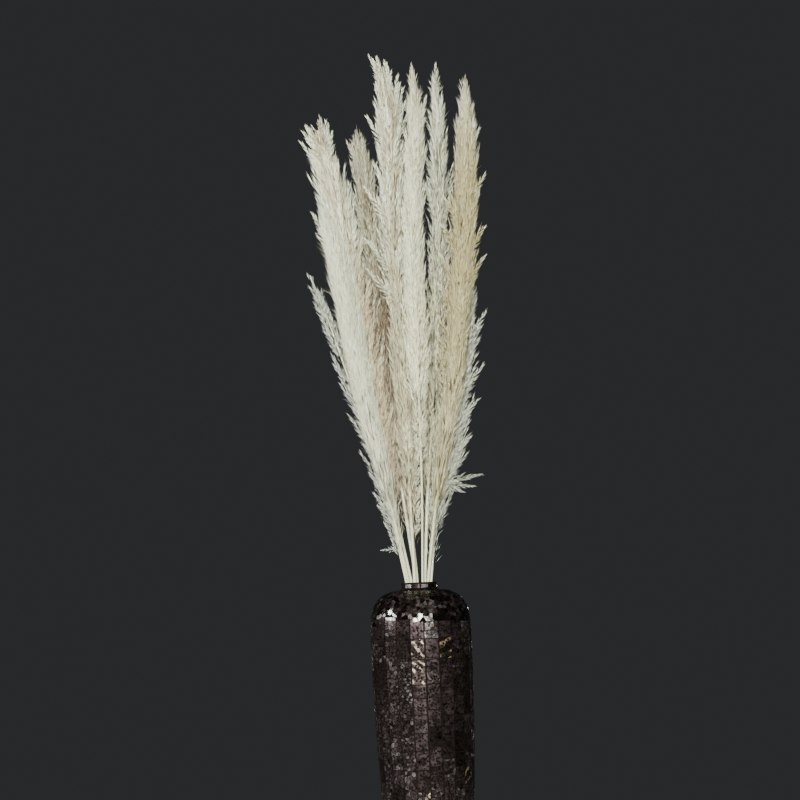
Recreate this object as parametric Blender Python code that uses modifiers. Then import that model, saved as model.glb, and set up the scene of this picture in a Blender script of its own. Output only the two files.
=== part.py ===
"""A slim shell-mosaic vase holding ten dried, bleached pampas-grass plumes.

The vase is one turned body, open at its mouth and hollow down to its floor. Each plume is one grown piece:
a stem that stands on the vase's floor, and above it a brush of sprays round a slim core. The sprays are a
checkerboard on the core's grid, whose every second point is drawn out and up into a tip.

Metres, +Z up. The origin is the centre of the vase's underside, and the front faces -Y.
"""
import math
from collections import namedtuple

import bpy
import numpy as np
from mathutils.bvhtree import BVHTree

MM = 0.001
COLLECTION_NAME = "vase_of_dried_pampas_grass"

# The vase, in millimetres. Its outer and inner shoulders are superellipses, drawn between angles in degrees.
VASE_HEIGHT = 450.0
VASE_WIDEST_RADIUS = 75.0
VASE_WIDEST_HEIGHT = 354.0
SHOULDER_HEIGHT = 85.5
SHOULDER_POWER = 3.8
OUTER_SHOULDER_ANGLES = (74.0, 8.0)
INNER_SHOULDER_ANGLES = (20.0, 74.0)
FOOT_RADIUS = 59.0
FOOT_ROUNDING = 3.0
LOWEST_SIDE_RING = 43.0
NECK_RADIUS = 26.6
NECK_FILLET = 3.0
NECK_FILLET_ANGLES = (180.0, 250.0)
MOUTH_RADIUS = 22.0
WALL = 5.0
FLOOR_THICKNESS = 8.0
VASE_SEGMENTS = 40
MERGE_DISTANCE = 0.02
VASE_COLOUR = (0.035, 0.024, 0.022)
VASE_ROUGHNESS = 0.25
VASE_COAT = 0.6

# The stems and plumes, in millimetres.
STEM_RADIUS = 3.2
STEM_CLEARANCE = 0.3
STEM_FOOT_SPREAD = 0.75
STEM_RING_SPACING = 70.0
SPRAY_RING_SPACING = 11.6
NEIGHBOUR_GAP = 0.7
UNLIMITED = 1000.0
LEAST_FACING = 0.02
LEAST_FLUFF = 3.0
CORE_SHARE = 0.45
CROWN_DEPTH = 22.0
CROWN_RADIUS = 2.2
CROWN_RAGGED = (3.0, 32.0)
SHORTEST_SPRAY = 12.0
NARROW_SPRAY_SHARE = 0.35
TUFT_LENGTHS = (140.0, 90.0, 60.0)
TUFT_DEPTH = 0.05
FLUFF_ROUGHNESS = 0.9
SEED = 71

# Each spray tip is drawn by chance within these shares, and turned by up to TIP_TURN radians. Sprays that
# cross are drawn in to COMB_SHARE of their length, again and again, until none cross.
TIP_TURN = 0.10
LENGTH_SHARES = (0.72, 1.12)
REACH_SHARES = (0.88, 1.0)
COMB_SHARE = 0.86
COMB_ROUNDS = 40
SHRINK_TO_TEST = 0.9985

COOL_WHITE = (0.64, 0.63, 0.55)
WARM_WHITE = (0.58, 0.55, 0.45)
CREAM = (0.54, 0.48, 0.33)
TAN = (0.48, 0.42, 0.31)

# A plume's heights and route are measured from the centre of the mouth. "mouth" is where its stem passes the
# mouth (x, y), and "route" goes on from there (x, y, height) to its tip. "fluff_from" is the height where its
# sprays start, "spray" is their length, "full_at" and "taper_from" are the shares of its length where it
# reaches its full radius and where it starts to narrow, and "top_share" is what is left of that at the tip.
Plume = namedtuple(
    "Plume", "name mouth route fluff_from radius spray full_at taper_from top_share columns colour")

PLUMES = [
    Plume(name="plume_far_left", mouth=(-11, 10),
          route=[(-34, 10, 125), (-60, 7, 300), (-89, 4, 502), (-105, 4, 602), (-126, 4, 700)],
          fluff_from=70, radius=29, spray=50, full_at=0.42, taper_from=0.84, top_share=0.40,
          columns=12, colour=WARM_WHITE),
    Plume(name="plume_left_front", mouth=(-15.5, -8),
          route=[(-36, -18, 110), (-72, -36, 276), (-102, -42, 473), (-123, -42, 572)],
          fluff_from=48, radius=30, spray=44, full_at=0.36, taper_from=0.72, top_share=0.20,
          columns=12, colour=COOL_WHITE),
    Plume(name="plume_left_low", mouth=(-18, 3),
          route=[(-37, 9, 103), (-61, 17, 210), (-92, 22, 310), (-121, 22, 405), (-149, 22, 483)],
          fluff_from=30, radius=22, spray=40, full_at=0.30, taper_from=0.62, top_share=0.18,
          columns=10, colour=COOL_WHITE),
    Plume(name="plume_back_left", mouth=(-3, 17),
          route=[(-17, 24, 120), (-34, 33, 300), (-47, 36, 515), (-64, 36, 695)],
          fluff_from=70, radius=23, spray=46, full_at=0.40, taper_from=0.82, top_share=0.46,
          columns=10, colour=TAN),
    Plume(name="plume_tall", mouth=(-6, -13),
          route=[(-8, -15, 130), (-9, -18, 320), (-15, -20, 580), (-18, -20, 735), (-29, -20, 788)],
          fluff_from=66, radius=27, spray=48, full_at=0.30, taper_from=0.84, top_share=0.22,
          columns=12, colour=WARM_WHITE),
    Plume(name="plume_centre", mouth=(5.5, -14),
          route=[(10.5, -28, 140), (12.4, -46, 320), (16, -52, 560), (24.5, -52, 715), (22.5, -52, 776)],
          fluff_from=232, radius=16, spray=42, full_at=0.20, taper_from=0.84, top_share=0.26,
          columns=10, colour=WARM_WHITE),
    Plume(name="plume_slender", mouth=(9, 9),
          route=[(18, 15, 120), (36, 26, 300), (57, 30, 590), (60, 30, 690), (54, 30, 778)],
          fluff_from=56, radius=20, spray=46, full_at=0.35, taper_from=0.66, top_share=0.28,
          columns=10, colour=COOL_WHITE),
    Plume(name="plume_right", mouth=(13.5, -7),
          route=[(28, -12, 100), (62, -20, 285), (88, -22, 500), (98, -22, 640), (103, -22, 757)],
          fluff_from=40, radius=27, spray=48, full_at=0.36, taper_from=0.66, top_share=0.22,
          columns=12, colour=CREAM),
    Plume(name="plume_right_low", mouth=(18, 2),
          route=[(31, 10, 105), (60, 21, 225), (77, 28, 330), (104, 30, 478)],
          fluff_from=36, radius=27, spray=50, full_at=0.34, taper_from=0.70, top_share=0.26,
          columns=12, colour=WARM_WHITE),
    Plume(name="plume_back", mouth=(-2, 5),
          route=[(-10, 20, 120), (-22, 50, 300), (-26, 66, 460), (-18, 70, 612)],
          fluff_from=60, radius=26, spray=46, full_at=0.36, taper_from=0.74, top_share=0.28,
          columns=10, colour=TAN),
]

# Long single sprays that stand out of the outline: (height where it leaves the stem, direction in degrees
# from +X towards +Y, how far out its tip reaches, how far it rises), in millimetres.
LOOSE_SPRAYS = {
    "plume_far_left": [(622, 180, 31, 71), (606, 182, 42, 62), (652, 60, 8, 60)],
    "plume_back_left": [(618, 176, 22, 52)],
    "plume_left_front": [(500, 184, 26, 54)],
    "plume_left_low": [(398, 180, 14, 46), (100, 180, 24, 35), (52, 180, 31, -2)],
    "plume_tall": [(752, 180, 19, 40), (700, 0, 16, 63), (680, 0, 24, 66), (640, 192, 33, 58),
                   (530, 200, 44, 62), (455, 204, 48, 58), (412, 206, 50, 56)],
    "plume_centre": [(662, 350, 19, 58)],
    "plume_slender": [(728, 60, 3, 53), (590, 184, 18, 51), (545, 188, 19, 55)],
    "plume_right": [(548, 0, 32, 56), (470, 0, 35, 55), (428, 0, 38, 54)],
    "plume_right_low": [(340, 4, 39, 62), (262, 0, 44, 60), (215, 0, 42, 55), (165, 0, 40, 48),
                        (150, 0, 58, 7), (144, 354, 46, -7)],
}
LOOSE_RADIUS = 3.3
LOOSE_ROOT_PHASE = 0.15
LOOSE_TIP_RADIUS = 0.4
LOOSE_STEPS = 5
ROOT_DEPTH = 2.0
BARB_PLACES = (0.45, 0.62)
BARB_SHARE = 0.8
BARB_SPREAD = 0.42
BARB_RADIUS = 1.4
TUBE_SIDES = 3


def remove_scene_objects():
    """Starts from an empty scene."""
    for old in list(bpy.data.objects):
        bpy.data.objects.remove(old, do_unlink=True)


def make_collection():
    """The collection that every sub-part goes into."""
    collection = bpy.data.collections.new(COLLECTION_NAME)
    bpy.context.scene.collection.children.link(collection)
    return collection


def make_material(name, colour, roughness, coat=0.0):
    """A Principled BSDF with one colour, for one sub-part."""
    material = bpy.data.materials.new(name)
    material.use_nodes = True
    shader = material.node_tree.nodes["Principled BSDF"]
    shader.inputs["Base Color"].default_value = (*colour, 1.0)
    shader.inputs["Roughness"].default_value = roughness
    shader.inputs["Coat Weight"].default_value = coat
    return material


def add_object(collection, name, mesh, material):
    """Wraps a mesh in an object of the collection."""
    part = bpy.data.objects.new(name, mesh)
    mesh.materials.append(material)
    collection.objects.link(part)
    return part


def quarter_superellipse(radius, height, power, first, last, count):
    """Points (r, z) of r = radius cos(a)^(2/power), z = height sin(a)^(2/power), from one angle to another."""
    angles = np.radians(np.linspace(first, last, count))
    return [(radius * math.cos(a) ** (2 / power), height * math.sin(a) ** (2 / power)) for a in angles]


def arc(centre_r, centre_z, radius, first, last, count):
    """Points (r, z) on a circle, between two angles in degrees."""
    angles = np.radians(np.linspace(first, last, count))
    return [(centre_r + radius * math.cos(a), centre_z + radius * math.sin(a)) for a in angles]


def side_radius(height, widest):
    """The side below its widest ring: a parabola that meets the foot's radius at the bottom."""
    drop = (VASE_WIDEST_RADIUS - FOOT_RADIUS) / VASE_WIDEST_HEIGHT ** 2
    return widest - drop * (VASE_WIDEST_HEIGHT - height) ** 2


def inner_profile():
    """From the middle of the vase's floor up its inner wall to the mouth."""
    widest = VASE_WIDEST_RADIUS - WALL
    inner_shoulder = SHOULDER_HEIGHT - WALL
    points = [(0.0, FLOOR_THICKNESS)]
    floor_radius = side_radius(FLOOR_THICKNESS, widest)
    points += arc(floor_radius - WALL, FLOOR_THICKNESS + WALL, WALL, -90, 0, 3)
    points += [(side_radius(z, widest), z) for z in (VASE_WIDEST_HEIGHT / 2, VASE_WIDEST_HEIGHT)]
    shoulder = quarter_superellipse(widest, inner_shoulder, SHOULDER_POWER, *INNER_SHOULDER_ANGLES, 4)
    points += [(r, VASE_WIDEST_HEIGHT + z) for r, z in shoulder]
    points.append((MOUTH_RADIUS, VASE_WIDEST_HEIGHT + inner_shoulder))
    return points


def outer_profile():
    """From the lip over the neck and shoulder, down the side and under the foot to the middle."""
    lip_radius = (NECK_RADIUS - MOUTH_RADIUS) / 2
    lip_centre = MOUTH_RADIUS + lip_radius
    points = arc(lip_centre, VASE_HEIGHT - lip_radius, lip_radius, 180, 0, 5)
    neck_foot = VASE_WIDEST_HEIGHT + SHOULDER_HEIGHT + NECK_FILLET
    points += arc(NECK_RADIUS + NECK_FILLET, neck_foot, NECK_FILLET, *NECK_FILLET_ANGLES, 2)
    shoulder = quarter_superellipse(
        VASE_WIDEST_RADIUS, SHOULDER_HEIGHT, SHOULDER_POWER, *OUTER_SHOULDER_ANGLES, 8)
    points += [(r, VASE_WIDEST_HEIGHT + z) for r, z in shoulder]
    heights = np.linspace(VASE_WIDEST_HEIGHT, LOWEST_SIDE_RING, 5)
    points += [(side_radius(z, VASE_WIDEST_RADIUS), z) for z in heights]
    points += arc(FOOT_RADIUS - FOOT_ROUNDING, FOOT_ROUNDING, FOOT_ROUNDING, 0, -90, 3)
    points.append((0.0, 0.0))
    return points


def make_vase(collection):
    """The vase as a closed profile turned about the Z axis."""
    points = inner_profile() + outer_profile()
    mesh = bpy.data.meshes.new("vase")
    vertices = [(r * MM, 0.0, z * MM) for r, z in points]
    edges = [(i, i + 1) for i in range(len(points) - 1)]
    mesh.from_pydata(vertices, edges, [])
    material = make_material("shell_mosaic", VASE_COLOUR, VASE_ROUGHNESS, VASE_COAT)
    vase = add_object(collection, "vase", mesh, material)
    turn = vase.modifiers.new("turn", "SCREW")
    turn.axis = "Z"
    turn.angle = 2 * math.pi
    turn.steps = VASE_SEGMENTS
    turn.render_steps = VASE_SEGMENTS
    turn.use_merge_vertices = True
    turn.merge_threshold = MERGE_DISTANCE * MM
    turn.use_normal_calculate = True
    turn.use_smooth_shade = True
    return vase


def stem_foot_height():
    """Where a stem's cut end stands just clear of the vase's floor, measured from the mouth."""
    return FLOOR_THICKNESS + STEM_CLEARANCE - VASE_HEIGHT


def plume_tip(plume):
    """The height of a plume's tip above the mouth."""
    return plume.route[-1][2]


def axis(plume, heights):
    """The stem's centre line (x, y) at some heights.

    Above the mouth a cubic runs from each route point to the next, with the slope at a point taken from its
    two neighbours. The stretch inside the vase is straight, from the foot on the floor to the mouth.
    """
    knots = np.array([(*plume.mouth, 0.0), *plume.route], dtype=float)
    places = knots[:, :2]
    levels = knots[:, 2]
    slopes = np.gradient(places, levels, axis=0)
    h = np.clip(heights, 0.0, levels[-1])
    k = np.clip(np.searchsorted(levels, h, side="right") - 1, 0, len(levels) - 2)
    span = (levels[k + 1] - levels[k])[..., None]
    s = (h - levels[k])[..., None] / span
    start = (1 + 2 * s) * (1 - s) ** 2 * places[k] + s * (1 - s) ** 2 * span * slopes[k]
    end = s ** 2 * (3 - 2 * s) * places[k + 1] + s ** 2 * (s - 1) * span * slopes[k + 1]
    depth = np.clip(heights / stem_foot_height(), 0.0, 1.0)[..., None]
    return (start + end) * (1.0 - (1.0 - STEM_FOOT_SPREAD) * depth)


def room(plume, heights, angles):
    """How far a plume may reach at some heights and angles before it meets a neighbour's share.

    Two neighbours share the distance between their centre lines in proportion to their radii, with a gap
    between them. Above a neighbour's tip its share gives way, a millimetre for each millimetre of height.
    """
    centre = axis(plume, heights)
    outward = np.stack([np.cos(angles), np.sin(angles)], axis=-1)
    limit = np.full(np.shape(heights), UNLIMITED)
    for neighbour in PLUMES:
        if neighbour is plume:
            continue
        offset = axis(neighbour, heights) - centre
        distance = np.linalg.norm(offset, axis=-1)
        share = plume.radius / (plume.radius + neighbour.radius)
        above_tip = np.maximum(heights - plume_tip(neighbour), 0.0)
        wall = share * distance - NEIGHBOUR_GAP + above_tip
        toward = (outward * offset).sum(axis=-1) / distance
        faces_it = toward > LEAST_FACING
        limit = np.where(faces_it, np.minimum(limit, wall / np.where(faces_it, toward, 1.0)), limit)
    return limit


def envelope(plume, heights):
    """The plume's natural outer radius: it widens from its stem, keeps its width, then narrows to its tip.

    widening = 1 - (1 - a)^1.7 and narrowing = 1 - (1 - top share) b^1.6, where a and b run from 0 to 1 along
    the stretches that widen and narrow.
    """
    length = plume_tip(plume) - plume.fluff_from
    t = np.clip((heights - plume.fluff_from) / length, 0.0, 1.0)
    opening = np.clip(t / plume.full_at, 0.0, 1.0)
    widening = 1.0 - (1.0 - opening) ** 1.7
    closing = np.clip((t - plume.taper_from) / (1.0 - plume.taper_from), 0.0, 1.0)
    narrowing = 1.0 - (1.0 - plume.top_share) * closing ** 1.6
    least = STEM_RADIUS + LEAST_FLUFF
    return (least + (plume.radius - least) * widening) * narrowing


def tufts(plume, heights, angles):
    """A slow waviness of the outer radius, from a few sines with seeded phases."""
    draw = np.random.default_rng(SEED + PLUMES.index(plume))
    wave = np.zeros(np.shape(heights))
    for turns, length in enumerate(TUFT_LENGTHS, start=1):
        wave += np.sin(2 * math.pi * (heights / length + draw.random()) + turns * angles)
    return 1.0 + TUFT_DEPTH * wave


def outer_radius(plume, heights, angles):
    """The plume's outer radius, kept within the room that its neighbours leave."""
    natural = envelope(plume, heights) * tufts(plume, heights, angles)
    return np.minimum(natural, room(plume, heights, angles))


def place(plume, heights, angles, radii):
    """World positions in metres at some heights, angles and distances from the plume's centre line."""
    centre = axis(plume, heights)
    x = centre[..., 0] + radii * np.cos(angles)
    y = centre[..., 1] + radii * np.sin(angles)
    return np.stack([x, y, VASE_HEIGHT + heights], axis=-1) * MM


def stem_rings(plume, angles):
    """The bare stem's rings, from its foot on the vase's floor to the lowest sprays."""
    in_vase = np.linspace(stem_foot_height(), 0.0, 3)
    count = max(3, round(plume.fluff_from / STEM_RING_SPACING) + 1)
    above = np.linspace(0.0, plume.fluff_from - SPRAY_RING_SPACING, count)[1:]
    heights = np.concatenate([in_vase, above])
    grid_h, grid_a = np.meshgrid(heights, angles, indexing="ij")
    return place(plume, grid_h, grid_a, np.full(grid_h.shape, STEM_RADIUS))


def spray_rings(plume, angles):
    """The plume's grid of core points, and for each the tip of the spray that would grow there.

    The last ring is narrow and carries no sprays: the plume's own tip rises from it.
    """
    draw = np.random.default_rng(SEED * 3 + PLUMES.index(plume))
    last = plume_tip(plume) - CROWN_DEPTH
    count = round((last - plume.fluff_from) / SPRAY_RING_SPACING) + 1
    heights = np.linspace(plume.fluff_from, last, count)
    grid_h, grid_a = np.meshgrid(heights, angles, indexing="ij")
    outer = outer_radius(plume, grid_h, grid_a)
    core = np.minimum(np.maximum(STEM_RADIUS, CORE_SHARE * outer), room(plume, grid_h, grid_a))
    core[-1] = CROWN_RADIUS
    points = place(plume, grid_h, grid_a, core)
    fullness = NARROW_SPRAY_SHARE + (1.0 - NARROW_SPRAY_SHARE) * outer / plume.radius
    length = plume.spray * fullness * draw.uniform(*LENGTH_SHARES, grid_h.shape)
    highest = plume_tip(plume) - draw.uniform(*CROWN_RAGGED, grid_h.shape)
    tip_h = grid_h + np.maximum(SHORTEST_SPRAY, np.minimum(length, highest - grid_h))
    tip_a = grid_a + draw.uniform(-TIP_TURN, TIP_TURN, grid_h.shape)
    reach = outer_radius(plume, tip_h, tip_a) * draw.uniform(*REACH_SHARES, grid_h.shape)
    tips = place(plume, tip_h, tip_a, reach)
    return points, tips


def grid_triangles(rings, columns, first_tip_ring):
    """Triangles between the rings, each quad split along the diagonal that joins its two core points."""
    ring, column = np.meshgrid(np.arange(rings - 1), np.arange(columns), indexing="ij")
    beside = (column + 1) % columns
    a = ring * columns + column
    b = ring * columns + beside
    c = (ring + 1) * columns + beside
    d = (ring + 1) * columns + column
    a_is_tip = (ring - first_tip_ring + column) % 2 == 0
    first = np.where(a_is_tip[..., None], np.stack([a, b, d], -1), np.stack([a, b, c], -1))
    second = np.where(a_is_tip[..., None], np.stack([b, c, d], -1), np.stack([a, c, d], -1))
    return np.concatenate([first.reshape(-1, 3), second.reshape(-1, 3)])


def cap_triangles(rings, columns):
    """A fan at the foot, whose middle is the point after the grid's last, and one at the crown after that."""
    around = np.arange(columns)
    beside = (around + 1) % columns
    top = (rings - 1) * columns
    foot = np.stack([beside, around, np.full(columns, rings * columns)], axis=-1)
    crown = np.stack([top + around, top + beside, np.full(columns, rings * columns + 1)], axis=-1)
    return np.concatenate([foot, crown])


def crossing_triangles(points, triangles):
    """Which triangles cross another. Each is shrunk a little first, so that neighbours don't touch."""
    corners = points[triangles]
    middles = corners.mean(axis=1, keepdims=True)
    shrunk = middles + (corners - middles) * SHRINK_TO_TEST
    separate = np.arange(3 * len(triangles)).reshape(-1, 3)
    tree = BVHTree.FromPolygons(shrunk.reshape(-1, 3).tolist(), separate.tolist())
    pairs = [pair for pair in tree.overlap(tree) if pair[0] != pair[1]]
    return np.unique(np.array(pairs, dtype=int))


def plume_body(plume):
    """A plume's stem and sprays as one closed mesh: a loft of rings with a cap at its foot and its crown."""
    angles = np.arange(plume.columns) * 2 * math.pi / plume.columns
    stem = stem_rings(plume, angles)
    core, tips = spray_rings(plume, angles)
    rings = len(stem) + len(core)
    foot = place(plume, np.array(stem_foot_height()), np.array(0.0), np.array(0.0))
    crown = place(plume, np.array(float(plume_tip(plume))), np.array(0.0), np.array(0.0))
    triangles = np.concatenate([grid_triangles(rings, plume.columns, len(stem)),
                                cap_triangles(rings, plume.columns)])
    ring, column = np.indices(core.shape[:2])
    is_tip = ((ring + column) % 2 == 0).ravel() & (ring.ravel() < len(core) - 1)
    drawn = np.where(is_tip, 1.0, 0.0)
    for _ in range(COMB_ROUNDS):
        sprays = core.reshape(-1, 3) + drawn[:, None] * (tips - core).reshape(-1, 3)
        points = np.concatenate([stem.reshape(-1, 3), sprays, [foot, crown]])
        crossing = crossing_triangles(points / MM, triangles)
        if len(crossing) == 0:
            break
        at_fault = np.zeros(len(points), dtype=bool)
        at_fault[triangles[crossing].ravel()] = True
        drawn[at_fault[stem.size // 3:-2]] *= COMB_SHARE
    mesh = bpy.data.meshes.new(plume.name)
    mesh.from_pydata(points.tolist(), [], triangles.tolist())
    return mesh


def tapered_tube(path, sideways, radii):
    """A closed tube along a path, with flat ends: each ring is path + radius (cos a sideways + sin a lift)."""
    along = np.gradient(path, axis=0)
    along /= np.linalg.norm(along, axis=1, keepdims=True)
    lift = np.cross(sideways, along)
    turns = np.arange(TUBE_SIDES) * 2 * math.pi / TUBE_SIDES
    across = np.cos(turns)[None, :, None] * sideways + np.sin(turns)[None, :, None] * lift[:, None, :]
    points = path[:, None, :] + np.asarray(radii)[:, None, None] * across
    faces = []
    for ring in range(len(path) - 1):
        for side in range(TUBE_SIDES):
            here = ring * TUBE_SIDES + side
            beside = ring * TUBE_SIDES + (side + 1) % TUBE_SIDES
            faces.append((here, here + TUBE_SIDES, beside + TUBE_SIDES, beside))
    last = (len(path) - 1) * TUBE_SIDES
    faces.append(tuple(range(TUBE_SIDES)))
    faces.append(tuple(reversed(range(last, last + TUBE_SIDES))))
    mesh = bpy.data.meshes.new("tube")
    mesh.from_pydata((points.reshape(-1, 3) * MM).tolist(), [], faces)
    return mesh


def loose_spray(plume, height, direction, reach, rise):
    """One long spray and its barbs, as closed tubes that run into each other and into the plume's core.

    Its middle line leaves the core and bends outwards: out = reach s^1.2, up = rise s^0.9, for s from 0 to 1,
    where reach counts from the stem. Its radius swells to the middle and ends in a point.
    """
    angle = math.radians(direction)
    outward = np.array([math.cos(angle), math.sin(angle), 0.0])
    sideways = np.array([-math.sin(angle), math.cos(angle), 0.0])
    root = CORE_SHARE * float(outer_radius(plume, np.array(float(height)), np.array(angle))) - ROOT_DEPTH
    stem = np.array([*axis(plume, np.array(float(height))), VASE_HEIGHT + height])
    s = np.linspace(0.0, 1.0, LOOSE_STEPS + 1)
    path = stem + (root + (reach - root) * s ** 1.2)[:, None] * outward
    path[:, 2] += rise * s ** 0.9
    bulge = np.sin(math.pi * (LOOSE_ROOT_PHASE + (1.0 - LOOSE_ROOT_PHASE) * s))
    radii = LOOSE_TIP_RADIUS + (LOOSE_RADIUS - LOOSE_TIP_RADIUS) * bulge
    tubes = [tapered_tube(path, sideways, radii)]
    for number, place_on_path in enumerate(BARB_PLACES):
        start = np.array([np.interp(place_on_path, s, path[:, k]) for k in range(3)])
        ahead = path[-1] - start
        left = np.linalg.norm(ahead)
        ahead /= left
        side = 1 if number % 2 else -1
        heading = ahead + BARB_SPREAD * (side * sideways + np.cross(sideways, ahead))
        heading /= np.linalg.norm(heading)
        across = np.cross(heading, outward)
        across /= np.linalg.norm(across)
        barb = start + np.array([[0.0], [BARB_SHARE * left]]) * heading
        tubes.append(tapered_tube(barb, across, (BARB_RADIUS, LOOSE_TIP_RADIUS)))
    return tubes


def joined(body, extras):
    """The Boolean union of a closed mesh with a list of others, as one mesh."""
    scene_root = bpy.context.scene.collection
    work = bpy.data.collections.new("to_join")
    scene_root.children.link(work)
    for mesh in extras:
        work.objects.link(bpy.data.objects.new("extra", mesh))
    base = bpy.data.objects.new("base", body)
    scene_root.objects.link(base)
    union = base.modifiers.new("union", "BOOLEAN")
    union.operation = "UNION"
    union.solver = "MANIFOLD"
    union.operand_type = "COLLECTION"
    union.collection = work
    result = bpy.data.meshes.new_from_object(base.evaluated_get(bpy.context.evaluated_depsgraph_get()))
    for used in [base, *work.objects]:
        bpy.data.objects.remove(used, do_unlink=True)
    bpy.data.collections.remove(work)
    return result


def make_plume(collection, plume):
    """One stem with its sprays, the loose ones joined to it."""
    material = make_material(plume.name + "_fluff", plume.colour, FLUFF_ROUGHNESS)
    mesh = plume_body(plume)
    loose = [tube for spray in LOOSE_SPRAYS.get(plume.name, []) for tube in loose_spray(plume, *spray)]
    if loose:
        mesh = joined(mesh, loose)
        mesh.materials.clear()
        mesh.name = plume.name
    return add_object(collection, plume.name, mesh, material)


def main():
    """Builds the vase and its ten plumes."""
    remove_scene_objects()
    collection = make_collection()
    make_vase(collection)
    for plume in PLUMES:
        make_plume(collection, plume)


main()
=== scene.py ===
"""A vase of dried pampas grass: ten bleached plumes in a slim vase that is clad in dark shell mosaic.

Lengths are in millimetres until a mesh is made. A plume's heights are measured up from the vase's mouth, and
an angle round the vase starts at its front, which faces -Y, and grows towards +X.
"""

import math
from collections import namedtuple

import bpy
import numpy as np
from mathutils import Matrix, Vector


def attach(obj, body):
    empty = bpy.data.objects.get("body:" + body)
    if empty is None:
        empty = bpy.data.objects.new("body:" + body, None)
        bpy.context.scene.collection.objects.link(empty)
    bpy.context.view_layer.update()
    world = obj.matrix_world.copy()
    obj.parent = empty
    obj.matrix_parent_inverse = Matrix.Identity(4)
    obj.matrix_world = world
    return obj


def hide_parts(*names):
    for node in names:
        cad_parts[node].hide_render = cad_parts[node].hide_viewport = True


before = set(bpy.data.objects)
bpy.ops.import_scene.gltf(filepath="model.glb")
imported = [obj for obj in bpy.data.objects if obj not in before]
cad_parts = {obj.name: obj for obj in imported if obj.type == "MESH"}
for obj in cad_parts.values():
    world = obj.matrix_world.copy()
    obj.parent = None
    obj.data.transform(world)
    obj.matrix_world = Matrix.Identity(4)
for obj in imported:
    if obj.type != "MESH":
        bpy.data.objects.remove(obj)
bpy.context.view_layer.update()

MM = 0.001
FULL_TURN = 2 * math.pi
GOLDEN_ANGLE = math.pi * (3.0 - math.sqrt(5.0))
UNLIMITED = 1000.0
SEED = 5

# The vase, as its CAD solid has it.
VASE_HEIGHT = 450.0
WIDEST_RADIUS = 75.0
WIDEST_HEIGHT = 354.0
SHOULDER_HEIGHT = 85.5
SHOULDER_POWER = 3.8
FOOT_RADIUS = 59.0
FOOT_ROUNDING = 3.0
NECK_RADIUS = 26.6
NECK_FILLET = 3.0
MOUTH_RADIUS = 22.0
WALL = 5.0
FLOOR_THICKNESS = 8.0

# The stems and plumes, as their CAD solids have them.
STEM_RADIUS = 3.2
STEM_CLEARANCE = 0.3
STEM_FOOT_SPREAD = 0.75
LEAST_FLUFF = 3.0
FACING = 0.02
TUFT_LENGTHS = (140.0, 90.0, 60.0)
TUFT_DEPTH = 0.05
TUFT_SEED = 71
WIDENING_POWER = 1.7
NARROWING_POWER = 1.6

# The hair of neighbouring plumes overlaps by so much on each side, where their solids keep apart.
NEIGHBOUR_OVERLAP = 1.5

Plume = namedtuple(
    "Plume", "name mouth route fluff_from radius spray full_at taper_from top_share slot look")

# How a plume's fluff is combed: "sprays" is how many there are, "hairs" how many hairs, "twig" the angle in
# degrees between a spray and its twigs, "fan" the angle that hairs spread by, "hair" their length, "arch" how
# far out a spray bows on its way, "ragged" how unevenly far the sprays reach, "proud" the share of them that
# stands out of the rest, "crown" how far the outermost sprays end below the middle one, "below" how far that
# one ends below the plume's tip, "stem" the visible stem's radius, "slim" and "girth" the shares of the
# solid's radius that the sprays reach at the fluff's start and at its end, "thin" the height over which the
# fluff thins out towards the mouth, "core" the share of the broad hairs round the stem that it has, and
# "aside" the share by which it reaches further on its right than its solid does, and less far on its left.
Look = namedtuple(
    "Look", "sprays hairs twig fan hair arch ragged proud crown below stem slim girth thin core aside",
    defaults=[0.0])

# How hairs leave a spray: the angles of the twigs and of the hairs' fan in degrees, a twig's share of the
# spray's length, how many twigs there are, how far the hair stays open at the plume's tip, and how much the
# fan narrows and the hair shortens towards the spray's end.
Comb = namedtuple("Comb", "twig fan twig_share twigs least_open narrowing shortening")

# The tones of a plume's hair: at the outside high up, close to the stem, where the deep tone is a painted
# shade of the plume's inside, at the outside of the middle part, up to a share of the plume's height, and at
# the outside of the foot, up to another share.
Tones = namedtuple("Tones", "tip deep low low_to foot foot_to")

# Each plume's deep tone is a painted shade of the inside of the plume.
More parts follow.
